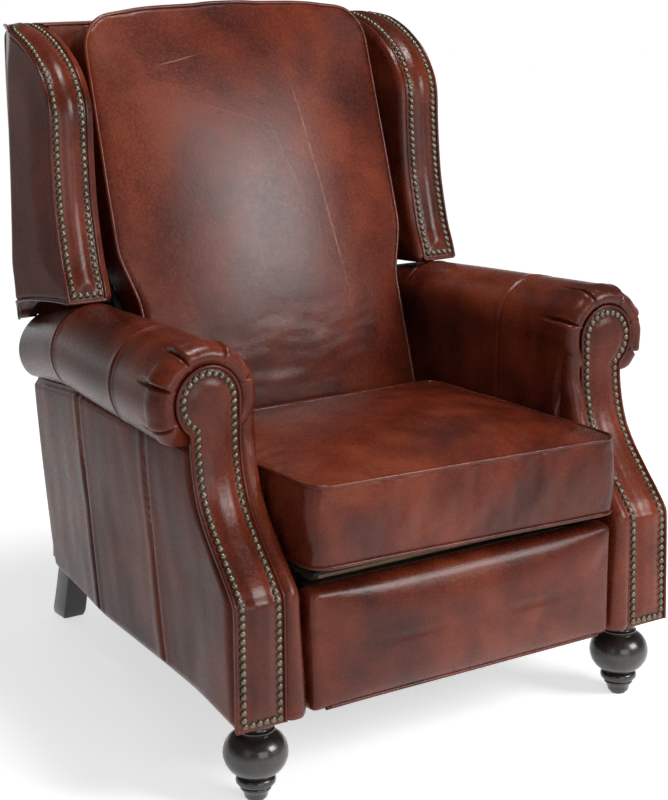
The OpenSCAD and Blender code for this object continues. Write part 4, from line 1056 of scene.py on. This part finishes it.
def push(obj, shift):
    """Moves each point of the mesh by what shift gives for it and its normal."""
    mesh = obj.data
    both = zip(point_rows(mesh.vertices), point_rows(mesh.vertex_normals, "vector"))
    mesh.vertices.foreach_set("co", np.array([at + normal * shift(at, normal) for at, normal in both]).ravel())
    mesh.update()


def seated(path, obj):
    """The path laid on the finished surface."""
    mesh = obj.data
    corners, faces = [tuple(v.co) for v in mesh.vertices], [tuple(f.vertices) for f in mesh.polygons]
    tree = bvhtree.BVHTree.FromPolygons(corners, faces)
    laid = []
    for point in path:
        at, normal = tree.find_nearest(Vector(point))[:2]
        laid.append(tuple(at + (Vector(point) - at) * 0.25 + normal * WELT_LIFT))
    laid = np.array(laid)
    for _ in range(2):
        laid = (np.roll(laid, 1, 0) + 2 * laid + np.roll(laid, -1, 0)) / 4
    return laid


SEAT_FRONT, SEAT_REAR = -0.447, 0.010
SEAT_HALF_FRONT, SEAT_HALF_REAR = 0.2805, 0.2640
SEAT_LOW, SEAT_BORDER, SEAT_CROWN = 0.3165, 0.121, 0.030
CUSHION_WELT_R = 0.0034
seat_plan = rounded_outline(
    [(-SEAT_HALF_REAR, SEAT_REAR), (-SEAT_HALF_FRONT, SEAT_FRONT),
     (SEAT_HALF_FRONT, SEAT_FRONT), (SEAT_HALF_REAR, SEAT_REAR)], [0.020, 0.026, 0.026, 0.020], 0.008)
seat_mid = np.array([0.0, (SEAT_FRONT + SEAT_REAR) / 2])
seat_half = np.array([SEAT_HALF_FRONT, (SEAT_REAR - SEAT_FRONT) / 2])


def bulge(q, half, power=2.4):
    return (1 - min(1, abs(q[0]) / half[0]) ** power) * (1 - min(1, abs(q[1]) / half[1]) ** power)


def seat_ring(share, rise, crown=0.0):
    pts = shrink(seat_plan, seat_mid, share)
    return [(p[0], p[1], SEAT_LOW + rise + crown * bulge(p - seat_mid, seat_half)) for p in pts]


stack = [seat_ring(s, 0) for s in (0.1, 0.3, 0.5, 0.7, 0.85, 0.95)] + [seat_ring(0.985, 0.001), seat_ring(0.995, 0.003)]
for t in np.linspace(0.06, 0.94, 14):
    stack.append(seat_ring(0.990 + 0.014 * math.sin(math.pi * t), t * SEAT_BORDER))
stack += [seat_ring(0.996, SEAT_BORDER - 0.002), seat_ring(0.992, SEAT_BORDER + 0.001)]
for s in (0.97, 0.94, 0.90, 0.85, 0.78, 0.70, 0.60, 0.50, 0.38, 0.26, 0.14, 0.04):
    stack.append(seat_ring(s, SEAT_BORDER, SEAT_CROWN * 0.80))
seat_top_welt, seat_low_welt = seat_ring(0.998, SEAT_BORDER + 0.0005), seat_ring(0.998, 0.0045)
seat_form = inflated(*rings(stack), 0.0065, [seat_top_welt, seat_low_welt], 0.016, 3.2, 0.004, "seat_cushion_hide",
                     still=lambda p: p[2] < SEAT_LOW + 0.002)


def seat_gathers(p, n):
    """Gathers below the upper welt of the border, strongest at the front."""
    down = SEAT_LOW + SEAT_BORDER - p[2]
    if abs(n[2]) > 0.8 or down < 0.0:
        return 0.0006 * noise.noise(Vector(p) * 18)
    along = p[0] if abs(n[1]) > 0.5 else p[1]
    front = 1.0 if n[1] < -0.4 else 0.45
    crease = noise.noise(Vector((along * 42, 0.4 * down * 20, 2.0)))
    crease += 0.6 * noise.noise(Vector((along * 95, down * 12, 8.0)))
    fade = math.exp(-max(0, down - 0.004) / 0.030) * step(down, 0.003, 0.012)
    return front * 0.0014 * crease * float(fade) + 0.0006 * noise.noise(Vector(p) * 12)


def plumped(x, y, z):
    """The cushion sits a little high at its front left corner."""
    return (x, y, z + 0.0068 * (1 - x / 0.28) * float(step(-y, 0.02, 0.42)))


finish_soft(seat_form, hide, "seat")
push(seat_form, seat_gathers)
for v in seat_form.data.vertices:
    v.co = plumped(*v.co)
stands_for(seat_form, "seat_cushion")
for label, path in (("seat_cushion_upper_welt", seat_top_welt), ("seat_cushion_lower_welt", seat_low_welt)):
    path = seated([plumped(*p) for p in path], seat_form)
    piece(label, *cord_tube(path, CUSHION_WELT_R, True), welt_hide, "seat", 80, "cushion_leather")


# ---------------------------------------------------------------- footrest panel
# A padded panel of the same hide on a plywood board. Closed, it hangs under the seat
# cushion, and one welt runs along its lower edge.
PAD_HALF, PAD_FLARE, PAD_LOW, PAD_TOP = 0.2730, 0.0035, 0.1245, 0.2995
PAD_BACK_Y, PAD_FACE_Y, PAD_CROWN = -0.3964, -0.4340, 0.012
pad_plan = rounded_outline(
    [(-PAD_HALF, PAD_LOW), (PAD_HALF, PAD_LOW), (PAD_HALF + PAD_FLARE, PAD_TOP), (-PAD_HALF - PAD_FLARE, PAD_TOP)],
    [0.005, 0.005, 0.006, 0.006], 0.006)
pad_mid = np.array([0.0, (PAD_LOW + PAD_TOP) / 2])
pad_half = np.array([PAD_HALF, (PAD_TOP - PAD_LOW) / 2])


def pad_ring(inset, y, crown=0.0):
    pts = []
    for p in pad_plan:
        q = pad_mid + (p - pad_mid) * (1 - inset / pad_half)
        pts.append((q[0], y - crown * bulge(q - pad_mid, pad_half, 3.0), q[1]))
    return pts


stack = [pad_ring(i, PAD_BACK_Y) for i in (0.080, 0.060, 0.030, 0.008)]
stack += [pad_ring(i, PAD_BACK_Y - y) for i, y in ((0.0015, 0.001), (0.0, 0.005), (0.0, 0.012))]
stack += [pad_ring(i, PAD_FACE_Y + y) for i, y in ((0.0006, 0.006), (0.0025, 0.002), (0.006, -0.0005))]
stack += [pad_ring(i, PAD_FACE_Y - 0.001, PAD_CROWN) for i in (0.010, 0.018, 0.028, 0.040, 0.054, 0.068, 0.080)]
footrest_form = inflated(*rings(stack), 0.0055, [[(x, PAD_BACK_Y, z) for x, z in pad_plan]], 0.005, 1.6, 0.0,
                         "footrest_hide", still=lambda p: p[1] > PAD_BACK_Y - 0.003)
finish_soft(footrest_form, hide, "footrest")
push(footrest_form, lambda p, n: 0.0008 * noise.noise(Vector((p[0] * 6, p[1] * 3, p[2] * 10))))
stands_for(footrest_form, "footrest_pad")
pad_welt_xs = np.linspace(-PAD_HALF + 0.003, PAD_HALF - 0.003, 60)
pad_welt = seated([(x, PAD_FACE_Y + 0.0020, PAD_LOW + 0.0020) for x in pad_welt_xs], footrest_form)[1:-1]
piece("footrest_lower_welt", *cord_tube(pad_welt, 0.0026), welt_hide, "footrest", 80, "cushion_leather")


# ---------------------------------------------------------------- back cushion
# One tall crowned cushion, narrow between the arms and wide between the wings, with a
# welt round its front panel. Old scratches in the hide show as thin pale lines. Its
# hide is painted 10 % darker than on the other parts, as painted shade.
LEAN = math.radians(17.6)
BACK_FOOT = (0.094, 0.340)
BACK_LOW_HALF, BACK_HALF = 0.250, 0.277
BACK_BORDER, BACK_CROWN = 0.073, 0.044
SCARS = [
    (0.085, 0.960, 0.137, 0.560, 0.0022), (-0.052, 0.790, -0.020, 0.590, 0.0018),
    (-0.185, 0.980, -0.040, 1.005, 0.0016), (0.020, 0.905, 0.090, 0.700, 0.0013),
    (0.110, 0.640, 0.150, 0.520, 0.0013), (-0.120, 0.930, 0.030, 0.880, 0.0010),
]
# Painted shade: the back cushion's copy of the hide is 10 % darker than elsewhere, taking back the light that falls on
# it. The pale scratch lines are real marks.
darkened_scarred_hide = leather_finish("scarred cowhide painted darker", 0.90, 0.0, SCARS)


def back_point(x, up, out):
    """A point of the leaning back: across, up the lean and forward of the frame's front plane."""
    rise, run = math.cos(LEAN), math.sin(LEAN)
    return (x, BACK_FOOT[0] + up * run - out * rise, BACK_FOOT[1] + up * rise + out * run)


half_line = [
    (BACK_LOW_HALF, 0), (BACK_LOW_HALF, 0.262), (BACK_HALF, 0.345), (BACK_HALF, 0.738), (BACK_HALF * 0.52, 0.754),
]
corners = half_line + [(0, 0.757)] + [(-x, v) for x, v in reversed(half_line)]
radii = [0.022, 0.10, 0.10, 0.062, 0.25, 0, 0.25, 0.062, 0.10, 0.10, 0.022]
back_plan = rounded_outline(corners, radii, 0.009)
back_mid = np.array([0.0, 0.372])
back_half = np.array([BACK_HALF, 0.382])


def back_ring(share, out, crown=0.0):
    pts = shrink(back_plan, back_mid, share)
    return [back_point(p[0], p[1], out + crown * bulge(p - back_mid, back_half)) for p in pts]


stack = [back_ring(s, 0.002) for s in (0.1, 0.35, 0.6, 0.8, 0.93)]
stack += [back_ring(0.982, 0.003), back_ring(0.992, 0.007)]
for t in np.linspace(0.15, 0.92, 9):
    stack.append(back_ring(0.994 - 0.006 * math.sin(math.pi * t), t * BACK_BORDER))
stack += [back_ring(0.996, BACK_BORDER - 0.001), back_ring(0.990, BACK_BORDER + 0.001)]
for s in (0.97, 0.94, 0.90, 0.84, 0.77, 0.68, 0.58, 0.47, 0.35, 0.23, 0.12, 0.03):
    stack.append(back_ring(s, BACK_BORDER, BACK_CROWN * 0.80))
back_welt = back_ring(0.998, BACK_BORDER)


def behind_welt(p):
    return (p[1] - BACK_FOOT[0]) * math.cos(LEAN) - (p[2] - BACK_FOOT[1]) * math.sin(LEAN) > -0.004


back_form = inflated(*rings(stack), 0.0075, [back_welt], 0.016, 2.4, 0.0, "back_cushion_hide", still=behind_welt)
# The back cushion takes the hide painted 10 % darker as painted shade.
finish_soft(back_form, darkened_scarred_hide, "back")


def back_folds(p, n):
    """Shallow folds near the arms and the lower edge, where sitters lean."""
    low = float(1 - step(p[2], 0.50, 0.64))
    fold = noise.noise(Vector((p[0] * 10, p[1] * 10, p[2] * 30 + 4)))
    fold += 0.5 * noise.noise(Vector((p[0] * 24, 3, p[2] * 60)))
    return 0.0012 * low * fold + 0.0014 * noise.noise(Vector((p[0] * 6, 5, p[2] * 4)))


push(back_form, back_folds)
stands_for(back_form, "back_cushion")
back_cord = cord_tube(seated(back_welt, back_form), CUSHION_WELT_R, True)
piece("back_cushion_welt", *back_cord, welt_hide, "back", 80, "cushion_leather")


# ---------------------------------------------------------------- outside back
# Hide over thin wadding covers the rear of the back. It rolls over the top rail to
# meet the cushion, and ends free between the arms so that the back can recline.
BACK_PLANE_Y, REAR_Y = 0.378, 0.390
NARROW, SHOULDER_Z, OUT_LOW, OUT_TOP, OUT_CORNER = 0.2578, 0.556, 0.250, 1.0485, 0.022


def rear_x(z):
    """Half the width of the back at its rear edge, which flares a little towards the top."""
    return 0.3345 + 0.0135 * float(step(z, 0.56, 1.04))


def outside_half(z):
    if z < SHOULDER_Z:
        return NARROW
    top = max(0.0, z - (OUT_TOP - OUT_CORNER))
    return rear_x(z) - (OUT_CORNER - math.sqrt(max(0.0, OUT_CORNER ** 2 - top ** 2)))


outer, inner = [], []
levels = np.concatenate([
    np.linspace(OUT_LOW, SHOULDER_Z - 0.0002, 40), np.linspace(SHOULDER_Z, OUT_TOP - OUT_CORNER - 0.001, 56),
    OUT_TOP - OUT_CORNER + OUT_CORNER * np.sin(np.linspace(0, 1.50, 12))])
for z in levels:
    half = outside_half(z)
    row_out, row_in = [], []
    for u in -np.cos(np.linspace(0, math.pi, 49)):
        x = half * u
        edge = min(half - abs(x), z - OUT_LOW, OUT_TOP - z + 0.002)
        soft = math.sqrt(min(1.0, max(0.0, edge) / 0.010))
        swell = 0.0025 * step(edge, 0.0, 0.08) + 0.0010 * noise.noise(Vector((x * 8, 2.2, z * 7)))
        row_out.append((x, BACK_PLANE_Y + 0.004 + (REAR_Y - BACK_PLANE_Y - 0.004) * soft + swell, z))
        row_in.append((x, BACK_PLANE_Y + 0.0005, z))
    outer.append(row_out)
    inner.append(row_in)
outside = piece("outside_back_hide", *thick(outer, inner), hide, "back", 60, "panel_leather")
stands_for(outside, "outside_back_panel")

stack = []
for x in np.linspace(-0.302, 0.302, 61):
    ring = []
    for a in np.linspace(0, 2 * math.pi, 28, endpoint=False):
        y = 0.352 + 0.0325 * math.copysign(abs(math.cos(a)) ** 0.6, math.cos(a))
        z = 1.0365 + 0.0155 * math.copysign(abs(math.sin(a)) ** 0.8, math.sin(a))
        ring.append((x, y, z))
    stack.append(ring)
stands_for(piece("back_top_cover_hide", *rings(stack), hide, "back", 60, "panel_leather"), None)
shoulder = eased([(0.3835, 0.610), (0.2770, 0.610), (0.2770, 0.905), (0.3155, 1.0505), (0.3835, 1.0505)],
                 0.2320, 0.3020, 0.005)
pair("right_back_shoulder_hide", shoulder, hide, "back", "panel_leather")
top_welt = [(x, 0.3165, 1.0502) for x in np.linspace(-0.3085, 0.3085, 60)]
piece("back_top_welt", *cord_tube(top_welt, WELT_R), welt_hide, "back", 80, "panel_leather")


# ---------------------------------------------------------------- wings
# Each wing is a plywood ear padded on both sides. A nailed facing follows its front
# from the arm over the top, with a welt on each edge, and the lower edge is arched.
WING_LOW = 0.6275
WING_LINE = [
    (WING_LOW, 0.0985), (0.657, 0.1090), (0.680, 0.1195), (0.710, 0.1285), (0.740, 0.1362), (0.785, 0.1450),
    (0.860, 0.1520), (0.920, 0.1550), (0.955, 0.1680), (0.990, 0.1950), (1.020, 0.2380), (1.038, 0.2800),
]
WING_IN, WING_OUT, WING_TAPER_Y = 0.311, 0.376, 0.300
WING_THICK, WELT_SINK = 0.0078, 0.0016
ARCH = [
    (0.1065, 0.6275), (0.150, 0.6240), (0.200, 0.6180), (0.250, 0.6105), (0.290, 0.6020), (0.318, 0.5910),
    (0.336, 0.5770), (0.3465, 0.5640), (0.356, 0.5570), (0.3765, 0.5540),
]


def catmull(points, spacing):
    """An open smooth curve through the points, at an even spacing."""
    p = np.array(points, float)
    p = np.concatenate([[2 * p[0] - p[1]], p, [2 * p[-1] - p[-2]]])
    out = []
    for k in range(1, len(p) - 2):
        out += [catmull_point(*p[k - 1:k + 3], t) for t in np.linspace(0, 1, 12, endpoint=False)]
    out.append(p[-2])
    out = np.array(out)
    flat = np.concatenate([out, np.zeros((len(out), 1))], 1)
    return resampled(flat, spacing)[:, :2]


wing_curve = catmull([(y, z) for z, y in WING_LINE] + [(0.320, 1.0480), (0.3520, 1.0505), (0.3800, 1.0500)], 0.006)
wing_ahead = np.gradient(wing_curve, axis=0)
wing_ahead /= np.linalg.norm(wing_ahead, axis=1)[:, None]
wing_out_n = np.stack([-wing_ahead[:, 1], wing_ahead[:, 0]], 1)


def wing_edge(y, z=1.04):
    return float(np.interp(y, [WING_TAPER_Y, BACK_PLANE_Y], [WING_OUT, rear_x(z)]))


outer, inner = [], []
for (y, z), n in zip(wing_curve, wing_out_n):
    hi = wing_edge(y)
    along = z - WING_LOW
    row_out, row_in = [], []
    for u in eased_steps(25):
        x = WING_IN + (hi - WING_IN) * u
        edge = min(x - WING_IN, hi - x, along + 0.0005)
        rise = facing_rise(edge) + 0.0012 * step(edge, 0.014, 0.03)
        rise += 0.0004 * noise.noise(Vector((x * 24, z * 14, 6.1)))
        row_out.append((x, y + n[0] * rise, z + n[1] * rise))
        row_in.append((x, y - n[0] * WING_THICK, z - n[1] * WING_THICK))
    outer.append(row_out)
    inner.append(row_in)
pair("right_wing_facing_hide", thick(outer, inner), hide, "back", "panel_leather", "right_wing_facing")

sunk = [(y - n[0] * WELT_SINK, z - n[1] * WELT_SINK) for (y, z), n in zip(wing_curve, wing_out_n)]
inside_welt = [(WING_IN + 0.0002, *at) for at in sunk]
outside_welt = [(wing_edge(y), *at) for (y, _), at in zip(wing_curve, sunk)]
foot_at = (wing_curve[0][0] + WELT_SINK, WING_LOW + 0.0004)
foot_welt = [(x, *foot_at) for x in np.linspace(WING_OUT - 0.003, WING_IN + 0.003, 10)]
pair("right_wing_facing_welt", cord_tube(outside_welt[::-1] + foot_welt + inside_welt, WELT_R), welt_hide, "back",
     "panel_leather", sharp=80)

nail_side = []
for inner_row in (True, False):
    row = []
    for (y, z), n in zip(wing_curve, wing_out_n):
        if z < WING_LOW + NAIL_INSET or y > 0.334:
            continue
        x = WING_IN + NAIL_INSET if inner_row else wing_edge(y) - NAIL_INSET
        row.append(((x, y - n[0] * 0.0012, z - n[1] * 0.0012), (0.0, n[0], n[1])))
    nail_side.append(row)
first_in, first_out = nail_side[0][0], nail_side[1][0]
bottom = []
for x in np.linspace(first_in[0][0] + NAIL_PITCH, first_out[0][0] - NAIL_PITCH * 1.02, 5):
    bottom.append(((x, first_in[0][1], first_in[0][2]), first_in[1]))
nail_pair("right_wing_nail_heads", nail_side + [bottom], "back", "right_wing_nails")


def even_line(points, shares):
    """The points at the given shares of a line's length."""
    p = np.asarray(points, float)
    run = np.concatenate([[0], np.cumsum(np.linalg.norm(np.diff(p, axis=0), axis=1))])
    return np.stack([np.interp(np.asarray(shares) * run[-1], run, p[:, k]) for k in range(p.shape[1])], 1)


def four_sided(front, rear, low, top, up, across):
    """A grid of points between four lines, rows from low to top and columns from front to rear."""
    f, r, b, t = even_line(front, up), even_line(rear, up), even_line(low, across), even_line(top, across)
    s, u = np.asarray(up)[:, None, None], np.asarray(across)[None, :, None]
    grid = (1 - u) * f[:, None] + u * r[:, None] + (1 - s) * b[None] + s * t[None]
    return grid - (1 - s) * ((1 - u) * f[0] + u * r[0]) - s * ((1 - u) * f[-1] + u * r[-1])


tucked = wing_curve - WELT_SINK * wing_out_n
turn_over = int(np.searchsorted(tucked[:, 0], 0.330))
wing_up = 0.5 * np.linspace(0, 1, 84) + 0.5 * eased_steps(84)
wing_across = 0.4 * np.linspace(0, 1, 52) + 0.6 * eased_steps(52)


def wing_skin(x_at, low, rear_y, back_x, swell_size, into, seed):
    """One padded side of the wing, from its front line to rear_y, over a sheet at back_x."""
    last = int(np.searchsorted(tucked[:, 0], rear_y))
    front, top = tucked[:turn_over], tucked[turn_over - 1:last]
    rear = [(rear_y, low[-1][1]), (rear_y, top[-1][1])]
    top = np.concatenate([top, [rear[-1]]])
    front = np.concatenate([[low[0]], front[1:]])
    grid = four_sided(front, rear, low, top, wing_up, wing_across)
    rim_points = np.concatenate([even_line(side, np.linspace(0, 1, 300)) for side in (front, rear, low, top)])
    rim_line = kdtree.KDTree(len(rim_points))
    for k, (y, z) in enumerate(rim_points):
        rim_line.insert((y, z, 0), k)
    rim_line.balance()
    outer, inner = [], []
    for row in grid:
        row_out, row_in = [], []
        for y, z in row:
            edge = rim_line.find((y, z, 0))[2]
            rim = math.sqrt(min(1.0, edge / 0.009))
            swell = swell_size * float(step(edge, 0.0, 0.075)) + 0.0010 * noise.noise(Vector((y * 8, z * 6, seed)))
            row_out.append((x_at(y, z) + into * 0.006 * (1 - rim) - into * swell * rim, y, z))
            row_in.append((back_x, y, z))
        outer.append(row_out)
        inner.append(row_in)
    return thick(outer, inner)


ear = wing_skin(lambda y, z: wing_edge(y, z) - 0.0008, ARCH, 0.3765, 0.328, 0.0055, -1, 2.0)
# The outer wing panels take the hide painted 8 % lighter as painted light.
pair("right_wing_outer_hide", ear, lightened_flank_hide, "back", "panel_leather", "right_wing_outer_panel")

LINING_FOOT = [(0.1065, 0.6235), (0.180, 0.6185), (0.250, 0.6160), (0.3450, 0.6100)]
ear_lining = wing_skin(lambda y, z: 0.2975, LINING_FOOT, 0.345, 0.318, 0.0080, 1, 4.0)
pair("right_wing_lining_hide", ear_lining, hide, "back", "panel_leather", "right_wing_lining")

arch_path = catmull(ARCH, 0.006)
arch_welt = [(wing_edge(y, z) - 0.0012, y, z) for y, z in arch_path]
pair("right_wing_lower_welt", cord_tube(arch_welt, 0.0021), welt_hide, "back", "panel_leather", sharp=80)

under_out, under_in = [], []
for y, z in arch_path[1:-1]:
    lining_z = max(z, looked_up(LINING_FOOT, y))
    across = np.linspace(0.3005, wing_edge(y, z) - 0.0045, 9)
    under_out.append([(x, y, (lining_z if x < 0.315 else z) + 0.003) for x in across])
    under_in.append([(x, y, low + 0.006) for x, y, low in under_out[-1]])
pair("right_wing_underside_cloth", thick(under_out, under_in), cambric, "back")
